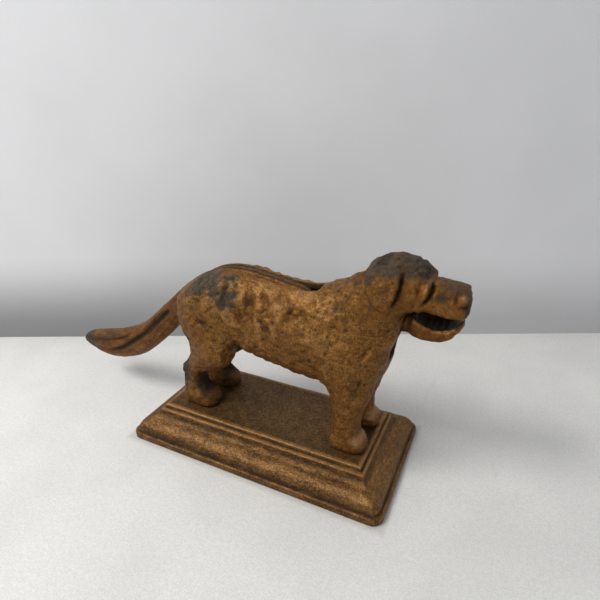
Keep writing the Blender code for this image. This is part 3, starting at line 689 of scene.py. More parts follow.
def bare_and_shadow_mask(skin):
    """Where the paint is gone and dark iron shows, and a painted shadow on the front of each hind
    foot.
    """
    x, z, hill = skin.x, skin.z, skin.hill
    crown = (ease((z - 126.6 - 0.05 * (92 - x)) / 6.5 + 1.3 * skin.ragged, 0.0, 1.0)
             * span(x, 50, 58, 93, 96) * (1 - 0.30 * hill(75.0, 135.5, 5.5, 5.0)))
    bridge_top = 0.6 * ease(z, 121.5, 124.5) * ease(x, 92, 96) * ease(skin.face_z, 0.1, 0.6)
    return np.maximum.reduce([
        crown, bridge_top,
        0.80 * ease(z, 126.5, 131.5) * span(x, 56, 62, 90, 94),
        *(strength * skin.patch(*patch) for strength, *patch in BARE_PATCHES),
        skin.patch(62.6, 128.0, 4.8, 4.6) * skin.ear_side,
        np.clip(1.9 * skin.patch(-58.0, 43.5, 8.0, 12.0), 0, 1),
        # painted shadow on the front of the hind foot
        hill(-43.5, 36.0, 5.5, 11.0) * ease(skin.face_x, 0.0, 0.6),
        0.75 * skin.patch(98.6, 121.6, 4.6, 3.0) * skin.muzzle_side,
    ])


def groove_shade_mask(skin, marks, height):
    """Hollows, creases, the hock and faces turned inwards, painted dark: mostly painted shade."""
    locks = marks.locks
    features = np.clip(
        0.38 * marks.rear + 1.1 * marks.front + 1.25 * marks.eye
        + 0.48 * marks.pit * (1 - 0.8 * locks) + 0.22 * marks.dent * (1 - 0.7 * locks)
        + 0.50 * marks.placed + 0.55 * marks.hollow + 0.9 * marks.below
        + 0.7 * marks.behind + 0.7 * marks.front_edge
        + 0.6 * ease(height, -0.55, -1.3) * (1 - 0.9 * locks), 0, 1)
    # painted shade on the inner faces of the hind legs
    inward = (ease(skin.face_y * np.sign(skin.y), -0.05, -0.55) * ease(skin.z, 84, 76)
              * ease(skin.x, -12, -20) * ease(skin.off, 3, 5))
    return np.maximum.reduce([
        features,
        # painted shadow on the front of the hind foot
        0.95 * skin.hill(-43.5, 36.0, 5.5, 13.0) * ease(skin.face_x, 0.0, 0.5),
        0.80 * skin.hill(-58.5, 44.5, 4.6, 7.5), 0.72 * inward, 0.17 * skin.ear])


def carve(skin, outer):
    """Height and paint masks of the body skin; outer is 1 on the outside and 0 within."""
    marks = SimpleNamespace()
    height = (coat_height(skin, marks) + ear_height(skin, marks) + eye_height(skin, marks)
              + muzzle_height(skin, marks) + muscle_height(skin))
    height = (np.clip(height, -2.6, 1.6) + outline_height(skin)) * outer
    hill = skin.hill
    # rubbed paint on high spots, and painted highlights on the locks, the upper flank, the lid, the
    # nostrils and the front paws
    wear_and_sheen = (1.25 * marks.locks * ease(marks.lock + 0.5 * skin.ragged, -0.30, 0.60)
            + 0.55 * ease(height, 0.15, 0.75) + 0.9 * marks.lid + 0.8 * marks.nostril
            + 1.1 * hill(63.2, 29.6, 3.2, 2.8) + 0.5 * hill(-28.0, 98.0, 11.0, 4.5)
            + 0.35 * hill(98.0, 114.0, 8.0, 4.0) * skin.muzzle_side)
    # painted shade inside the mouth
    mouth = (span(skin.x, 79, 83, 106.6, 108.6) * ease(skin.off, 9.6, 8.3)
             * span(skin.z, 104, 108, 115, 116.5))
    # rubbed paint that is also a painted highlight on the nostrils, the front paws and the lids
    rub_and_glint = 0.9 * marks.nostril ** 1.1 + 0.9 * hill(63.2, 29.6, 2.8, 2.4) + 0.35 * marks.lid
    return height, {
        "dark": bare_and_shadow_mask(skin) * outer,
        # the castings' inner faces, where outer is 0, are painted dark as shade
        "pit": groove_shade_mask(skin, marks, height) * outer + (1 - outer) * 0.85,
        "wear_and_sheen": np.clip(wear_and_sheen, 0, 1) * outer,
        "ink_and_shade": np.maximum.reduce([mouth, (1 - outer) * 0.6, 0.95 * marks.corner,
                                  0.35 * marks.front_edge]),
        "calm": skin.head * (1 - skin.ear),
        "rub_and_glint": np.clip(rub_and_glint, 0, 1) * outer,
    }


# ------------------------------------------------------------------ body castings
def solid_body():
    """The whole dog as one skin, smoothed where neck, shoulder and thigh run together."""
    shape = bmesh.new()
    for part in (TORSO, NECK, HEAD):
        loft(shape, part)
    for part in (EAR, THIGH, HIND_PAW, FRONT_LEG, FRONT_PAW):
        for side in (1, -1):
            loft(shape, part, count=36, side=side)
    skin = to_object("skin", shape)
    remesh(skin, FIRST_VOXEL, rounds=4)
    points, _ = coords(skin)
    x, y, z = points.T
    zone = np.maximum.reduce([
        span(x, 24, 32, 74, 80) * span(z, 54, 64, 104, 112),
        span(x, 20, 30, 50, 56) * ease(z, 98, 106),
        0.4 * ease(x, -14, -20) * span(z, 66, 74, 98, 104)])
    zone *= ease(np.abs(y), 4, 8) * 0.9 + 0.1
    points = relax(skin, points, rounds=40, weight=zone)
    set_coords(skin, points)
    return skin, points


def body_core():
    """What is cut from inside: the hollow less its bosses, the lever's slot and the mouth."""
    core = lofted("core", TORSO[2:-3], count=24, steps=1, inset=WALL)
    boolean(core, lofted("core_neck", NECK[1:6], count=24, steps=1, inset=NECK_WALL), "UNION")
    bosses = [(PIVOT, PIVOT_BOSS_R, SLOT_HALF)]
    bosses += [(place, SCREW_BOSS_R, SCREW_BOSS_START) for place in CROSS]
    for (x, z), radius, start in bosses:
        for side in (-1, 1):
            boss = rod("boss", radius, (x, side * start, z), (0, side, 0), BOSS_LENGTH, 24)
            boolean(core, boss)
    boolean(core, prism("slot", BACK_SLOT, SLOT_HALF), "UNION")
    boolean(core, prism("throat", THROAT_SLOT, SLOT_HALF), "UNION")
    rear, front = JAW_X
    teeth = []
    for k in range(JAW_TEETH):
        teeth.append((rear + k * JAW_PITCH, JAW_ROOT_Z))
        teeth.append((rear + (k + 0.5) * JAW_PITCH, JAW_TIP_Z))
    teeth += [(front, JAW_ROOT_Z), (front, JAW_FLOOR_Z), (rear, JAW_FLOOR_Z)]
    boolean(core, prism("mouth", teeth, JAW_HALF), "UNION")
    return core


def cut_half(skin, name, side):
    """One side of the carved skin, closed with a flat cap just off the middle plane."""
    shape = bmesh.new()
    shape.from_mesh(skin.data)
    cut = bmesh.ops.bisect_plane(
        shape, geom=shape.verts[:] + shape.edges[:] + shape.faces[:], dist=1e-4,
        plane_co=(0, side * VISIBLE_SEAM, 0), plane_no=(0, -side, 0), clear_outer=True)
    rim = [e for e in cut["geom_cut"] if isinstance(e, bmesh.types.BMEdge)]
    fill = bmesh.ops.triangle_fill(shape, use_beauty=True, edges=rim, normal=(0, -side, 0))
    for face in (f for f in fill["geom"] if isinstance(f, bmesh.types.BMFace)):
        face.normal_update()
        if face.normal.y * side > 0:
            face.normal_flip()
    for edge in rim:
        if edge.is_valid:
            edge.smooth = False
    return to_object(name, shape)


def make_body():
    skin, points = solid_body()
    outside = BVHTree.FromPolygons([Vector(p) for p in points],
                                   [tuple(p.vertices) for p in skin.data.polygons])
    boolean(skin, body_core())
    sole = BASE_H + GAP
    boolean(skin, prism("feet", [(-90, 0), (130, 0), (130, sole), (-90, sole)], 60))
    for x, z in CROSS:
        boolean(skin, rod("head", HEAD_SINK_R, (x, HEAD_SINK_Y, z), (0, 1, 0), HEAD_SINK_LENGTH))
    remesh(skin, BODY_VOXEL, rounds=2)
    split_face_edges(skin)
    surface = BodySkin(skin)
    depth = np.array([outside.find_nearest(Vector(p))[3] for p in surface.points])
    outer = ease(depth, 0.9, 0.35) * ease(surface.z, sole, BASE_H + 2.2)
    height, masks = carve(surface, outer)
    moved = surface.raised(height)
    moved[:, 2] = np.maximum(moved[:, 2], sole)
    set_coords(skin, moved)
    store_masks(skin, masks)
    sides = (("casting_right", -1), ("casting_left", 1))
    halves = [to_frame(cut_half(skin, name, side)) for name, side in sides]
    bpy.data.objects.remove(skin, do_unlink=True)
    return halves


# ------------------------------------------------------------------ lever casting
TAIL_FURROW = [(-72.0, 82.0), (-80.4, 74.4), (-90.9, 64.5), (-101.7, 55.0), (-112.9, 46.8),
               (-124.3, 39.2), (-136.0, 34.0), (-149.0, 31.4)]
UPPER_FURROW = [(-112.0, 54.5), (-124.0, 47.0), (-138.0, 42.4), (-152.0, 39.8), (-160.0, 38.4)]
RIDGE_PITCH = 3.6         # of the lines along the top of the arm
ARM_HALF = 5.15           # most the arm may swell to within its slot


def carve_lever(lever):
    """Moved points of the lever and its paint masks."""
    x, y, z, off = lever.x, lever.y, lever.z, lever.off
    face_x, face_y, face_z, hill = lever.face_x, lever.face_y, lever.face_z, lever.hill
    flat = ease(np.abs(face_y), 0.3, 0.7)
    tail = ease(x, -55, -63)
    jaw = ease(x, 80, 84)
    arm = (1 - tail) * (1 - jaw)

    # hair runs along the lever's own curved axis
    ax, az, bx, bz = np.array(smooth_rows(LEVER, 4)).T[:4]
    distance, run, side, runs = follow(x, z, axes((ax + bx) / 2, (az + bz) / 2))
    across = side * distance / np.interp(run, runs, np.hypot(ax - bx, az - bz) / 2)
    warp = fbm(lever.points / 14.0, 2, 90)
    hair = noise(axes(run / 16.0 + warp, (across * 3.2 + 0.7 * warp) * 1.3, np.sign(y) * 0.5), 91)
    fine_hair = noise(axes(run / 10.0, across * 9.0 + 1.4 * warp, np.sign(y) * 0.7), 92)
    height = tail * (0.34 * hair + 0.16 * fine_hair) + arm * (0.10 * hair + 0.14 * fine_hair)

    # long furrow on each side of the tail, with a swell on both banks, and a short one above it
    furrow = lever.trough(TAIL_FURROW, width=1.70, fade_in=0.12, fade_out=0.28) * flat
    banks = lever.trough(TAIL_FURROW, width=1.4, fade_in=0.15, fade_out=0.15, offset=3.0) * flat
    upper = lever.trough(UPPER_FURROW, width=1.0, fade_in=0.3, fade_out=0.3) * flat
    height += 0.6 * banks - 1.85 * furrow - 0.85 * upper

    # ridge lines of the arm that shows in the back slot
    top = ease(face_z, 0.5, 0.85) * arm
    stripe = np.cos(y * 2 * math.pi / RIDGE_PITCH)
    height += 0.22 * top * stripe * ease(x, 26, 20)

    # cross teeth in the bowl of the jaw, and its rough rim
    bowl = (span(x, 87, 90, 102, 104) * ease(off, 8.4, 7.0) * ease(face_z, 0.3, 0.8)
            * ease(z, 103, 101.5))
    rim = jaw * ease(face_z, 0.2, 0.7) * ease(z, 102.5, 103.5)
    height += 0.55 * bowl * np.cos((x - 88) * 2 * math.pi / JAW_PITCH)
    height += rim * lumps(lever.points, (1.9, 0.28, 96))
    height += jaw * lumps(lever.points, (4.0, 0.22, 94), (1.8, 0.12, 95)) * (1 - bowl)

    height *= 1 - 0.9 * arm * ease(off, 3.9, 4.7)               # smooth sides in the slot
    height = np.clip(height, -2.2, 0.75)
    height += span(x, -158, -148, -110, -100) * ease(face_z, -0.2, -0.7)   # fuller tail below
    height -= 0.9 * ease(x, 103, 107) * ease(face_x, 0.2, 0.7)             # shorter chin
    moved = lever.raised(height)
    moved[:, 1] = np.where(arm > 0.5, np.clip(moved[:, 1], -ARM_HALF, ARM_HALF), moved[:, 1])

    ragged = 0.30 * fbm(moved / 4.5, 3, 97) + lumps(moved, (1.6, 0.12, 98))
    # painted shade inside the jaw's bowl, on its inner faces and in the hollow behind it
    inner = np.maximum(ease(off, 8.8, 7.8) * ease(face_z, -0.1, 0.3),
                       ease(y, 2, 4) * ease(face_y, 0.6, 0.25))
    jaw_inside = jaw * inner * span(x, 82, 86, 106, 107.5) * ease(z, 98.5, 100.0)
    jaw_root = 0.85 * span(x, 76, 78, 80, 82) * ease(z, 102.5, 104.5)
    return moved, {
        "dark": np.maximum.reduce([
            ease(hill(-160.0, 38.0, 15.0, 6.0, 0.1) + ragged, 0.35, 0.80),
            0.60 * ease(hill(-138.0, 45.5, 17.0, 3.0, 0.3) + ragged, 0.35, 0.8),
            0.5 * jaw * ease(ragged, 0.1, 0.35),
            0.5 * ease(fbm(moved / 8.0, 3, 99), 0.45, 0.65), 0.42 * top]),
        # painted shade in the tail's furrows, the arm's ridge lines and on the arm's underside
        "pit": (1.3 * furrow + 0.8 * upper + 0.35 * tail * ease(fine_hair, -0.25, -0.8)
                + 0.8 * top * ease(stripe, -0.1, -0.8) + 0.8 * arm * ease(face_z, 0.1, -0.5)),
        # rubbed paint, with a painted highlight on the near half of the jaw's rim
        "wear_and_sheen": (0.5 * tail * ease(hair, 0.2, 0.8) + 0.15 * top + 0.8 * rim * ease(y, 3, 0)
                 + 0.5 * jaw * ease(face_x * np.sign(x - 80), 0.2, 0.9)),
        "ink_and_shade": np.maximum.reduce([bowl, jaw_inside, jaw_root, 0.22 * furrow, 0.1 * upper]),
        "calm": tail + 0.8 * jaw,
        # painted highlight on the near rear corner of the jaw's rim
        "rub_and_glint": 0.8 * hill(85.6, 106.6, 1.1) * ease(y, -6, -8),
    }


def make_lever():
    obj = lofted("tail_casting", LEVER, steps=5)
    boolean(obj, lofted("scoop", SCOOP, count=32, steps=3))
    x, z = PIVOT
    start = (x, -PIVOT_HOLE_HALF, z)
    boolean(obj, rod("bore", PIVOT_HOLE_R, start, (0, 1, 0), 2 * PIVOT_HOLE_HALF))
    remesh(obj, LEVER_VOXEL, rounds=3)
    moved, masks = carve_lever(Surface(obj))
    set_coords(obj, moved)
    store_masks(obj, masks)
    return to_frame(obj)


# ------------------------------------------------------------------ base casting
CORNER_POINTS = 9
LONG_STEPS, SHORT_STEPS = 90, 44     # along the straight sides
PLATE_RINGS, PLATE_STEP = 13, 1.9    # rings of the flat plate, towards the middle


def base_ring(inset, height):
    """Rounded rectangle inset from the base's outer edge, with even steps along its sides."""
    half_x, half_y = BASE_L / 2 - inset, BASE_W / 2 - inset
    radius = max(6.5 - 0.42 * inset, 0.9)
    near_x, near_y = half_x - radius, half_y - radius
    corners = []
    for quarter, (sign_x, sign_y) in enumerate(((1, 1), (-1, 1), (-1, -1), (1, -1))):
        for k in range(CORNER_POINTS):
            angle = math.radians(90 * quarter + 90 * k / (CORNER_POINTS - 1))
            corners.append((sign_x * near_x + radius * math.cos(angle),
                            sign_y * near_y + radius * math.sin(angle)))
    ring = []
    for i, (x, y) in enumerate(corners):
        next_x, next_y = corners[(i + 1) % len(corners)]
        steps = 1
        if (i + 1) % CORNER_POINTS == 0:
            steps = LONG_STEPS if abs(x - next_x) > abs(y - next_y) else SHORT_STEPS
        for k in range(steps):
            t = k / steps
            ring.append((x + (next_x - x) * t, y + (next_y - y) * t, height))
    return ring


def base_shape():
    rows = list(BASE_INSIDE)
    for i, (here, after) in enumerate(zip(BASE_PROFILE, BASE_PROFILE[1:])):
        rows += curve_rows(BASE_PROFILE, i, steps=3 if math.dist(here, after) > 1.2 else 2)
    plate_edge = BASE_PROFILE[-1][0]
    rows += [(plate_edge + k * PLATE_STEP, BASE_H) for k in range(PLATE_RINGS + 1)]
    shape = bmesh.new()
    rings = [[shape.verts.new(p) for p in base_ring(*row)] for row in rows]
    bridge(shape, rings)
    shape.faces.new(rings[0])
    shape.faces.new(rings[-1])
    bmesh.ops.remove_doubles(shape, verts=shape.verts, dist=1e-5)
    obj = to_object("base_casting", shape)
    for x, y in FEET:
        hole = rod("cut", BASE_HOLE_R, (x, y, BASE_HOLE_Z), (0, 0, 1), BASE_HOLE_LENGTH, 24)
        boolean(obj, hole)
    return obj


def make_base():
    obj = base_shape()
    surface = Surface(obj)
    points, x, y, z = surface.points, surface.x, surface.y, surface.z
    from_end, from_side = BASE_L / 2 - np.abs(x), BASE_W / 2 - np.abs(y)
    inset = np.minimum(from_end, from_side)
    outside = ((z > 17.0) | (inset < z * 0.85 + 2.0)).astype(float)
    plate = ease(inset, 18.0, 19.0)
    at_end = from_end < from_side
    along = np.where(at_end, y, x)

    # slight unevenness; the moulding is streaked, the plate nearly flat
    height = ease(z, 2.0, 4.0) * outside * lumps(points, (16.0, 0.16, 50), (6.0, 0.10, 51))
    height += outside * (1 - plate) * 0.10 * noise(axes(along / 6.0, inset / 2.6, z / 2.6), 52)
    distance, own = cells(points / 7.0, 53)
    pit = ease(distance, 0.14, 0.05) * (own > 0.6) * outside
    height = (height - 0.35 * pit) * (1 - plate * 0.75)
    moved = surface.raised(np.minimum(height, 0.15))
    moved[:, 2] = np.minimum(np.where(z > 3.0, moved[:, 2], z), BASE_H)
    moved[:, 0] = np.clip(moved[:, 0], -BASE_L / 2, BASE_L / 2)
    moved[:, 1] = np.clip(moved[:, 1], -BASE_W / 2, BASE_W / 2)
    set_coords(obj, moved)

    ragged = 0.30 * fbm(points / 5.0, 3, 54) + lumps(points, (1.5, 0.14, 55))
    streak = fbm(axes(along / 11.0, inset / 3.4, z / 3.4), 3, 56)
    fine_streak = noise(axes(along / 2.6, inset / 1.3, z / 1.3), 57)

    def band(low, high, soft):
        """1 between two insets, with soft edges."""
        return span(inset, low - soft, low + soft, high - soft, high + soft)

    # painted highlights along the beads, and painted shade on the upright step between them (inset
    # 16.5 to 17.1)
    beads = band(14.9, 16.3, soft=0.35) + band(17.3, 18.8, soft=0.35)
    grooves = (band(12.0, 14.2, soft=0.8) * 0.34 + band(16.5, 17.1, soft=0.25) * 0.9
               + band(1.2, 2.4, soft=0.5) * 0.9)
    # rubbed paint on the bulge, with painted light that fades towards the front end
    bulge_wear_and_light = ((0.62 - 0.16 * ease(x, -50, 40)) * band(3.2, 8.4, soft=1.4)
                  * ease(streak + 0.25 * fine_streak + 0.6 * ragged, -0.25, 0.45))
    # painted light on the faces at the front end
    end_face_light = (0.45 * ease(x, BASE_L / 2 - 17, BASE_L / 2 - 13) * band(1.5, 15.0, soft=1.5)
                  * ease(fine_streak + ragged, -0.6, 0.4))
    # painted highlights on the beads and the cove (inset 8.4 to 12.4), with rubbed paint
    wear_and_sheen = (1.5 * beads * ease(streak + 0.3 * fine_streak, -0.9, 0.1) + bulge_wear_and_light + end_face_light
            + 0.60 * band(8.4, 12.4, soft=1.0) * ease(streak + 0.5 * ragged, -0.5, 0.3)
            + 0.3 * band(0, 1.2, soft=0.4) * ease(fine_streak, -0.2, 0.6))
    dark = (0.45 * ease(streak + 0.9 * ragged, 0.35, 0.75) * (1 - plate)
            + 0.05 * band(9.0, 12.0, soft=1.2) * ease(streak - 0.4 * ragged, -0.15, 0.4))
    store_masks(obj, {
        "wear_and_sheen": wear_and_sheen * np.maximum(1 - plate, beads),
        # painted shade on the underside and inner faces
        "pit": (grooves * ease(streak + 0.2, -0.4, 0.3) + 0.8 * pit) * outside
               + (1 - outside) * 0.7,
        "dark": dark * outside,
        "ink_and_shade": np.zeros(len(z)),
        "plate": plate * outside,
        "bead": beads * outside,
        # painted light on the front end face
        "end": (ease(x, BASE_L / 2 - 18, BASE_L / 2 - 15) * ease(from_side - inset, -0.5, 0.5)
                * outside),
    })
    # coordinates that follow the moulding round its mitred corners
    round_end = np.sign(x) * (BASE_L / 2 + BASE_W / 2 - 2 * inset - np.abs(y))
    store(obj, {"run": np.where(at_end, round_end, x), "across": inset + z, "side": y})
    return to_frame(obj)


# ------------------------------------------------------------------ materials
class Shader:
    """Short hand for a node tree: calls return an output socket, lengths are in mm."""

    def __init__(self, name):
        self.mat = bpy.data.materials.new(name)
        self.mat.use_nodes = True
        self.tree = self.mat.node_tree
        self.tree.nodes.clear()
        coord = self.new("ShaderNodeTexCoord")
        scale = self.new("ShaderNodeVectorMath")
        scale.operation = "SCALE"
        self.put(scale.inputs[0], coord.outputs["Object"])
        scale.inputs["Scale"].default_value = 1 / MM
        self.mm = scale.outputs[0]

    def new(self, kind):
        return self.tree.nodes.new(kind)

    def put(self, socket, value):
        if isinstance(value, bpy.types.NodeSocket):
            self.tree.links.new(value, socket)
        elif isinstance(value, (tuple, list)) and len(value) == 3 and socket.type == "RGBA":
            socket.default_value = (*value, 1.0)
        else:
            socket.default_value = value

    def attr(self, name):
        node = self.new("ShaderNodeAttribute")
        node.attribute_name = name
        return node.outputs["Fac"]

    def calc(self, operation, a, b=0.0):
        node = self.new("ShaderNodeMath")
        node.operation = operation
        self.put(node.inputs[0], a)
        self.put(node.inputs[1], b)
        return node.outputs[0]

    plus = partialmethod(calc, "ADD")
    minus = partialmethod(calc, "SUBTRACT")
    times = partialmethod(calc, "MULTIPLY")
    most = partialmethod(calc, "MAXIMUM")
    absolute = partialmethod(calc, "ABSOLUTE")

    def noise(self, size, detail=4.0, rough=0.6, where=None, stretch=(1, 1, 1), warp=0.0):
        """Noise whose lumps are about size across."""
        mapping = self.new("ShaderNodeMapping")
        self.put(mapping.inputs["Vector"], where or self.mm)
        mapping.inputs["Scale"].default_value = [1.0 / (size * k) for k in stretch]
        node = self.new("ShaderNodeTexNoise")
        node.inputs["Scale"].default_value = 1.0
        node.inputs["Detail"].default_value = detail
        node.inputs["Roughness"].default_value = rough
        node.inputs["Distortion"].default_value = warp
        self.put(node.inputs["Vector"], mapping.outputs[0])
        return node.outputs["Fac"]

    def ramp(self, value, start, end, low=0.0, high=1.0):
        """Smooth change from low where value is start to high where it is end."""
        node = self.new("ShaderNodeMapRange")
        node.interpolation_type = "SMOOTHSTEP"
        self.put(node.inputs["Value"], value)
        node.inputs["From Min"].default_value = start
        node.inputs["From Max"].default_value = end
        node.inputs["To Min"].default_value = low
        node.inputs["To Max"].default_value = high
        return node.outputs["Result"]

    def mix(self, factor, a, b):
        node = self.new("ShaderNodeMix")
        node.data_type = "RGBA"
        self.put(node.inputs["Factor"], factor)
        self.put(node.inputs[6], a)
        self.put(node.inputs[7], b)
        return node.outputs[2]

    def split(self):
        """x, y and z in mm."""
        node = self.new("ShaderNodeSeparateXYZ")
        self.put(node.inputs[0], self.mm)
        return node.outputs

    def pointiness(self):
        return self.new("ShaderNodeNewGeometry").outputs["Pointiness"]

    def finish(self, colour, rough, metallic, height, depth, gloss=0.5, front_only=False):
        """depth scales the height; front_only leaves back faces clear."""
        bump = self.new("ShaderNodeBump")
        bump.inputs["Strength"].default_value = 1.0
        bump.inputs["Distance"].default_value = depth * MM
        self.put(bump.inputs["Height"], height)
        shade = self.new("ShaderNodeBsdfPrincipled")
        self.put(shade.inputs["Base Color"], colour)
        self.put(shade.inputs["Roughness"], rough)
        self.put(shade.inputs["Metallic"], metallic)
        shade.inputs["Specular IOR Level"].default_value = gloss
        self.put(shade.inputs["Normal"], bump.outputs[0])
        out = self.new("ShaderNodeOutputMaterial")
        surface = shade.outputs[0]
        if front_only:
            geometry = self.new("ShaderNodeNewGeometry")
            clear = self.new("ShaderNodeBsdfTransparent")
            pick = self.new("ShaderNodeMixShader")
            self.put(pick.inputs[0], geometry.outputs["Backfacing"])
            self.put(pick.inputs[1], surface)
            self.put(pick.inputs[2], clear.outputs[0])
            surface = pick.outputs[0]
        self.put(out.inputs["Surface"], surface)
        return self.mat


CAMERA_TURN = math.radians(25.71)         # about Z, from looking along +Y
TAN = (0.50, 0.265, 0.092)                # rubbed paint, also laid on as painted highlights
DARK_SPECK_AND_SHADE = (0.022, 0.013, 0.007)               # dark specks of the paint, and painted shade in hollows and creases
INK_AND_SHADE = (0.060, 0.043, 0.027)               # dark paint and painted shade inside the mouth, the jaw, the castings and deep grooves
IRON, RUSTY_IRON = (0.032, 0.030, 0.023), (0.092, 0.070, 0.048)
BASE_IRON = (0.034, 0.026, 0.016)
CALM_DEEP, CALM_WARM = (0.115, 0.042, 0.010), (0.250, 0.096, 0.021)
# rubbed paint, also used for painted highlights on nostrils, paws, lids and the jaw's rim
RUB_AND_GLINT = (0.50, 0.275, 0.155)
MOULDING_DEEP, MOULDING_WARM = (0.085, 0.040, 0.013), (0.190, 0.090, 0.028)
PLATE_DEEP, PLATE_WARM = (0.100, 0.053, 0.019), (0.165, 0.088, 0.031)
STEEL, BROWN_STEEL, STEEL_EDGE = (0.115, 0.105, 0.095), (0.070, 0.050, 0.032), (0.34, 0.31, 0.27)
BOARD_LIGHT, BOARD_DARK = (0.88, 0.875, 0.85), (0.82, 0.817, 0.798)
BOARD_SPOT, BOARD_SCUFF, BOARD_SPECK = (0.52, 0.51, 0.48), (0.55, 0.54, 0.51), (0.45, 0.44, 0.42)
BOARD_SHADE = (0.30, 0.27, 0.23)
WALL_LIGHT, WALL_DARK, BLACK = (0.86, 0.868, 0.895), (0.83, 0.838, 0.862), (0.0, 0.0, 0.0)


def cast_paint(name, deep, warm, shine):
    """Copper-bronze paint over dark iron: granular, rubbed on high spots, with painted highlights,
    and painted shade in the hollows.
    """
    mat = Shader(name)
    broad = mat.noise(17, detail=3, rough=0.5, warp=0.6)
    mid = mat.noise(4.2, warp=0.4)
    fine = mat.noise(2.0, rough=0.7, warp=0.3)
    grain = mat.noise(0.90, detail=3, rough=0.75)
    blend = mat.plus(mat.ramp(broad, 0.34, 0.66, high=0.5), mat.ramp(mid, 0.36, 0.66, high=0.5))
    colour = mat.mix(blend, deep, warm)
    colour = mat.mix(mat.ramp(fine, 0.50, 0.66, high=0.52), colour, DARK_SPECK_AND_SHADE)
    # worn places, painted highlights and edges, but not the joint of the two castings
    point = mat.pointiness()
    grainy = mat.ramp(grain, 0.42, 0.60, low=0.25)
    worn_and_lit = mat.times(mat.attr("wear_and_sheen"), mat.ramp(mid, 0.34, 0.62, low=0.35))
    edge = mat.times(mat.ramp(point, 0.515, 0.60), mat.ramp(fine, 0.58, 0.40, low=0.15, high=0.8))
    edge = mat.times(edge, mat.ramp(mat.absolute(mat.split()[1]), 0.2, 1.2))
    worn_and_lit = mat.times(mat.most(worn_and_lit, edge), grainy)
    colour = mat.mix(mat.times(worn_and_lit, 0.80), colour, TAN)
    # calm zones are evener and less speckled
    speck = mat.noise(1.05, detail=2, rough=0.85)
    lively = mat.ramp(mat.attr("calm"), 0.0, 1.0, low=1.0, high=0.30)
    calm_colour = mat.mix(blend, CALM_DEEP, CALM_WARM)
    colour = mat.mix(mat.times(mat.attr("calm"), 0.55), colour, calm_colour)
    dark_speck = mat.times(mat.ramp(speck, 0.50, 0.36, high=0.50), lively)
    colour = mat.mix(dark_speck, colour, DARK_SPECK_AND_SHADE)
    light_speck = mat.times(mat.ramp(speck, 0.53, 0.68, high=0.42), lively)
    colour = mat.mix(light_speck, colour, TAN)
    # missing paint has a ragged edge of its own; the dark mask also holds the painted shadow on the
    # front of the hind feet
    bare = mat.plus(mat.attr("dark"), mat.times(mat.minus(mid, 0.5), 0.6))
    bare = mat.plus(bare, mat.times(mat.minus(fine, 0.5), 0.9))
    bare = mat.ramp(bare, 0.16, 0.98, high=0.92)
    colour = mat.mix(bare, colour, mat.mix(mat.ramp(fine, 0.42, 0.66), IRON, RUSTY_IRON))
    # painted shade in hollows, creases and inner faces, and wherever the surface is concave
    hollow = mat.most(mat.attr("pit"), mat.ramp(point, 0.487, 0.435, high=0.85))
    colour = mat.mix(mat.times(hollow, 0.88), colour, DARK_SPECK_AND_SHADE)
    # painted shade inside the mouth and the castings
    colour = mat.mix(mat.attr("ink_and_shade"), colour, INK_AND_SHADE)
    rough = mat.plus(mat.ramp(grain, 0.35, 0.65, low=0.34, high=0.52), mat.times(hollow, 0.28))
    rough = mat.plus(rough, mat.times(bare, 0.12))
    # rubbed paint and painted highlights
    colour = mat.mix(mat.times(mat.attr("rub_and_glint"), 0.75), colour, RUB_AND_GLINT)
    height = mat.plus(mat.times(mid, 0.5), mat.times(fine, 0.75))
    height = mat.plus(height, mat.times(grain, 0.34))
    dull = mat.most(hollow, mat.times(bare, 0.75))
    metallic = mat.ramp(dull, 0, 1, low=shine, high=0.10)
    return mat.finish(colour, rough, metallic, height, depth=0.80, gloss=0.14)


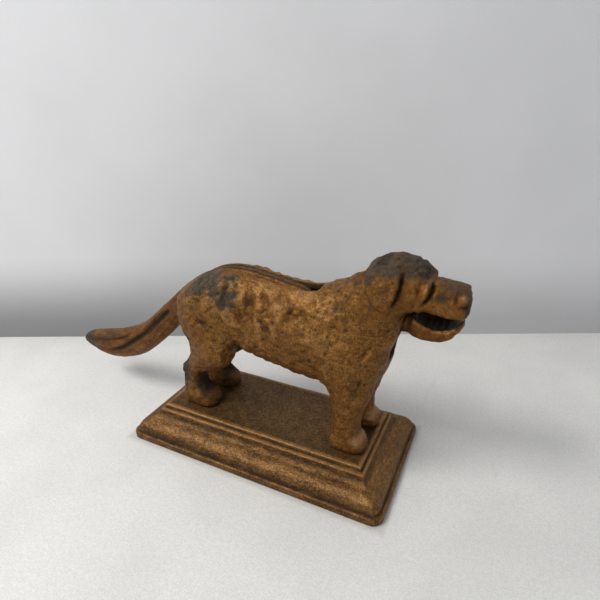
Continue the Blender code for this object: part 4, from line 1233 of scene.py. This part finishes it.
def moulding_paint(name):
    """The same paint on the base, streaked along the mouldings, on a darker flat plate."""
    mat = Shader(name)
    join = mat.new("ShaderNodeCombineXYZ")
    for k, key in enumerate(("run", "across", "side")):
        mat.put(join.inputs[k], mat.attr(key))
    flow = join.outputs[0]
    streak = mat.noise(1.0, where=flow, stretch=(9, 4.4, 14), warp=0.6)
    broken = mat.noise(1.0, rough=0.65, where=flow, stretch=(2.6, 1.9, 5), warp=0.4)
    mid = mat.noise(4.6, warp=0.5)
    fine = mat.noise(1.9, rough=0.7, warp=0.3)
    grain = mat.noise(0.85, detail=3, rough=0.75)
    plate = mat.attr("plate")
    colour = mat.mix(mat.ramp(streak, 0.36, 0.62), MOULDING_DEEP, MOULDING_WARM)
    flat = mat.mix(mat.ramp(mid, 0.36, 0.64), PLATE_DEEP, PLATE_WARM)
    colour = mat.mix(plate, colour, flat)
    colour = mat.mix(mat.ramp(fine, 0.52, 0.68, high=0.60), colour, DARK_SPECK_AND_SHADE)
    # worn places, edges and beads, with painted highlights on the beads, the cove and the front end
    point = mat.pointiness()
    worn_and_lit = mat.times(mat.attr("wear_and_sheen"), mat.ramp(broken, 0.38, 0.60, low=0.15))
    edge = mat.times(mat.ramp(point, 0.52, 0.62), mat.ramp(broken, 0.40, 0.60, low=0.1, high=0.9))
    worn_and_lit = mat.times(mat.most(worn_and_lit, edge), mat.ramp(grain, 0.42, 0.60, low=0.3))
    colour = mat.mix(mat.times(worn_and_lit, 0.72), colour, TAN)
    speck = mat.noise(1.05, detail=2, rough=0.85)
    colour = mat.mix(mat.ramp(speck, 0.50, 0.36, high=0.58), colour, DARK_SPECK_AND_SHADE)
    light_speck = mat.times(mat.ramp(speck, 0.53, 0.68, high=0.40),
                            mat.ramp(plate, 0, 1, low=1.0, high=0.5))
    colour = mat.mix(light_speck, colour, TAN)
    # painted highlight along the beads
    bead = mat.times(mat.attr("bead"), mat.ramp(broken, 0.30, 0.60, low=0.25, high=0.62))
    colour = mat.mix(bead, colour, TAN)
    # missing paint, painted light on the front end, and painted shade in the hollows
    bare = mat.plus(mat.attr("dark"), mat.times(mat.minus(broken, 0.5), 1.2))
    bare = mat.ramp(bare, 0.36, 0.95, high=0.85)
    bare = mat.times(bare, mat.ramp(mat.attr("bead"), 0, 1, low=1.0, high=0.4))
    colour = mat.mix(bare, colour, BASE_IRON)
    colour = mat.mix(mat.times(mat.attr("end"), 0.15), colour, TAN)
    hollow = mat.most(mat.attr("pit"), mat.ramp(point, 0.485, 0.43, high=0.8))
    colour = mat.mix(mat.times(hollow, 0.80), colour, DARK_SPECK_AND_SHADE)
    rough = mat.plus(mat.ramp(grain, 0.35, 0.65, low=0.36, high=0.54), mat.times(hollow, 0.24))
    height = mat.plus(mat.times(broken, 0.4), mat.times(fine, 0.7))
    height = mat.plus(height, mat.times(grain, 0.3))
    metallic = mat.ramp(hollow, 0, 1, low=0.55, high=0.10)
    return mat.finish(colour, rough, metallic, height, depth=0.42, gloss=0.22)


def dark_steel(name):
    mat = Shader(name)
    fine = mat.noise(0.5)
    mid = mat.noise(2.4)
    colour = mat.mix(mat.ramp(mid, 0.40, 0.64), STEEL, BROWN_STEEL)
    colour = mat.mix(mat.ramp(mat.pointiness(), 0.52, 0.62, high=0.7), colour, STEEL_EDGE)
    rough = mat.ramp(mid, 0.3, 0.7, low=0.34, high=0.56)
    return mat.finish(colour, rough, metallic=0.85, height=fine, depth=0.06)


def table_paint(name):
    """Matt white board with faint clouds, spots, scuffs and specks, and a painted contact shadow
    round the base.
    """
    mat = Shader(name)
    clouds = mat.noise(60, detail=3, rough=0.5)
    colour = mat.mix(mat.ramp(clouds, 0.35, 0.65), BOARD_LIGHT, BOARD_DARK)
    spots = mat.noise(2.2, rough=0.75)
    colour = mat.mix(mat.ramp(spots, 0.60, 0.74, high=0.28), colour, BOARD_SPOT)
    scuffs = mat.noise(1.0, detail=3, stretch=(9, 60, 9), warp=0.8)
    colour = mat.mix(mat.ramp(scuffs, 0.68, 0.78, high=0.20), colour, BOARD_SCUFF)
    specks = mat.noise(0.9, detail=2, rough=0.8)
    colour = mat.mix(mat.ramp(specks, 0.36, 0.64, high=0.25), colour, BOARD_SPECK)
    specks = mat.noise(2.4, detail=2, rough=0.7)
    colour = mat.mix(mat.ramp(specks, 0.38, 0.62, high=0.10), colour, BOARD_SPECK)
    # painted contact shadow: the board darkens softly right at the foot of the base
    x, y, _ = mat.split()
    past_end = mat.minus(mat.absolute(mat.minus(x, CX / MM)), BASE_L / 2)
    past_side = mat.minus(mat.absolute(y), BASE_W / 2)
    shade = mat.ramp(mat.most(past_end, past_side), 0.0, 4.5, low=0.34, high=0.0)
    colour = mat.mix(shade, colour, BOARD_SHADE)
    height = mat.noise(1.4, rough=0.8)
    return mat.finish(colour, rough=0.66, metallic=0.0, height=height, depth=0.16)


def wall_paint(name):
    """Grey-white, with painted shade softly just above the table and more so on the left; clear
    behind.
    """
    mat = Shader(name)
    x, y, z = mat.split()
    rightward = mat.plus(mat.times(mat.minus(x, CX / MM), math.cos(CAMERA_TURN)),
                         mat.times(y, math.sin(CAMERA_TURN)))
    # painted shade: the colour is darkened towards black low on the wall and on the left
    low = mat.ramp(rightward, -190.0, 110.0, low=0.36, high=0.66)
    rise = mat.ramp(z, 8.0, 84.0)
    lit = mat.plus(low, mat.times(mat.minus(1.0, low), rise))
    clouds = mat.noise(90, detail=3, rough=0.5)
    colour = mat.mix(mat.ramp(clouds, 0.35, 0.65), WALL_LIGHT, WALL_DARK)
    colour = mat.mix(lit, BLACK, colour)
    height = mat.noise(3.0, detail=3)
    return mat.finish(colour, rough=0.7, metallic=0.0, height=height, depth=0.03,
                      front_only=True)


# ------------------------------------------------------------------ assembly
body_mat = cast_paint("body_paint", deep=(0.170, 0.074, 0.017), warm=(0.256, 0.113, 0.025),
                      shine=0.62)
lever_mat = cast_paint("lever_paint", deep=(0.110, 0.042, 0.010), warm=(0.220, 0.088, 0.021),
                       shine=0.6)
base_mat = moulding_paint("base_paint")
steel_mat = dark_steel("steel")


def place(obj, material, body, node, slot):
    obj.data.materials.clear()
    obj.data.materials.append(material)
    for poly in obj.data.polygons:
        poly.use_smooth = True
    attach(obj, body)
    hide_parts(node)


right_half, left_half = make_body()
place(right_half, body_mat, "body", "body_half_right", "body_paint")
place(left_half, body_mat, "body", "body_half_left", "body_paint")
place(make_lever(), lever_mat, "lever", "tail_lever", "lever_paint")
base_obj = make_base()
place(base_obj, base_mat, "body", "base", "base_paint")
base_obj.data.set_sharp_from_angle(angle=math.radians(50))
for node in ["pivot_pin"] + BODY_SCREWS + BASE_SCREWS:
    for slot in bpy.data.objects[node].material_slots:
        slot.material = steel_mat


# ------------------------------------------------------------------ stage, metres
FLOOR_HALF = 3
WALL_SIZE = 2              # height, and width to each side
WALL_AWAY = 0.137          # from the middle of the base


def sheet(name, corners, material):
    shape = bmesh.new()
    shape.faces.new([shape.verts.new(c) for c in corners])
    mesh = bpy.data.meshes.new(name)
    shape.to_mesh(mesh)
    shape.free()
    obj = link(name, mesh)
    mesh.materials.append(material)


ahead = Vector((-math.sin(CAMERA_TURN), math.cos(CAMERA_TURN), 0.0))    # level, from the camera
rightward = Vector((math.cos(CAMERA_TURN), math.sin(CAMERA_TURN), 0.0))
floor_corners = [(sx * FLOOR_HALF, sy * FLOOR_HALF, 0)
                 for sx, sy in ((-1, -1), (1, -1), (1, 1), (-1, 1))]
sheet("floor", floor_corners, table_paint("floor_paint"))
foot = Vector((CX, 0, 0)) + ahead * WALL_AWAY
foot_left, foot_right = foot - rightward * WALL_SIZE, foot + rightward * WALL_SIZE
rise = Vector((0, 0, WALL_SIZE))
sheet("backdrop", [foot_left, foot_right, foot_right + rise, foot_left + rise],
      wall_paint("wall_paint"))

# ------------------------------------------------------------------ camera
CAMERA_TILT = math.radians(24.14)         # looking down
CAMERA_ROLL = math.radians(-0.38)
CAMERA_PLACE = (CX + 0.1220, -0.2139, 0.2083)

back = Vector((math.sin(CAMERA_TURN) * math.cos(CAMERA_TILT),
               -math.cos(CAMERA_TURN) * math.cos(CAMERA_TILT), math.sin(CAMERA_TILT)))
level_up = back.cross(rightward)
camera_x = rightward * math.cos(CAMERA_ROLL) + level_up * math.sin(CAMERA_ROLL)
camera_y = -rightward * math.sin(CAMERA_ROLL) + level_up * math.cos(CAMERA_ROLL)
camera = link("camera", bpy.data.cameras.new("camera"))
rows = zip(camera_x, camera_y, back, CAMERA_PLACE)
camera.matrix_world = Matrix((*rows, (0, 0, 0, 1)))
camera.data.sensor_width = 36
camera.data.lens = 27.21
camera.data.shift_x = -0.00083333
camera.data.clip_start = 0.01
bpy.context.scene.camera = camera


# ------------------------------------------------------------------ light
def area(name, where, size, power, colour):
    """Round lamp aimed at the dog."""
    lamp = bpy.data.lights.new(name, "AREA")
    lamp.shape = "DISK"
    lamp.size = size
    lamp.energy = power
    lamp.color = colour
    obj = link(name, lamp)
    obj.location = where
    aim = Vector((CX, 0, 0.06)) - Vector(where)
    obj.rotation_euler = aim.to_track_quat("-Z", "Y").to_euler()


area("key", (CX - 0.62, -0.55, 1.06), size=0.44, power=7.9, colour=(1.0, 0.985, 0.955))
area("second", (CX - 0.166, -0.606, 0.838), size=0.42, power=2.4, colour=(1.0, 0.99, 0.97))
world = bpy.data.worlds.new("room")
bpy.context.scene.world = world
world.use_nodes = True
background = world.node_tree.nodes["Background"]
background.inputs["Color"].default_value = (0.95, 0.965, 1.0, 1)
background.inputs["Strength"].default_value = 0.29
bpy.context.scene.view_settings.view_transform = "Standard"
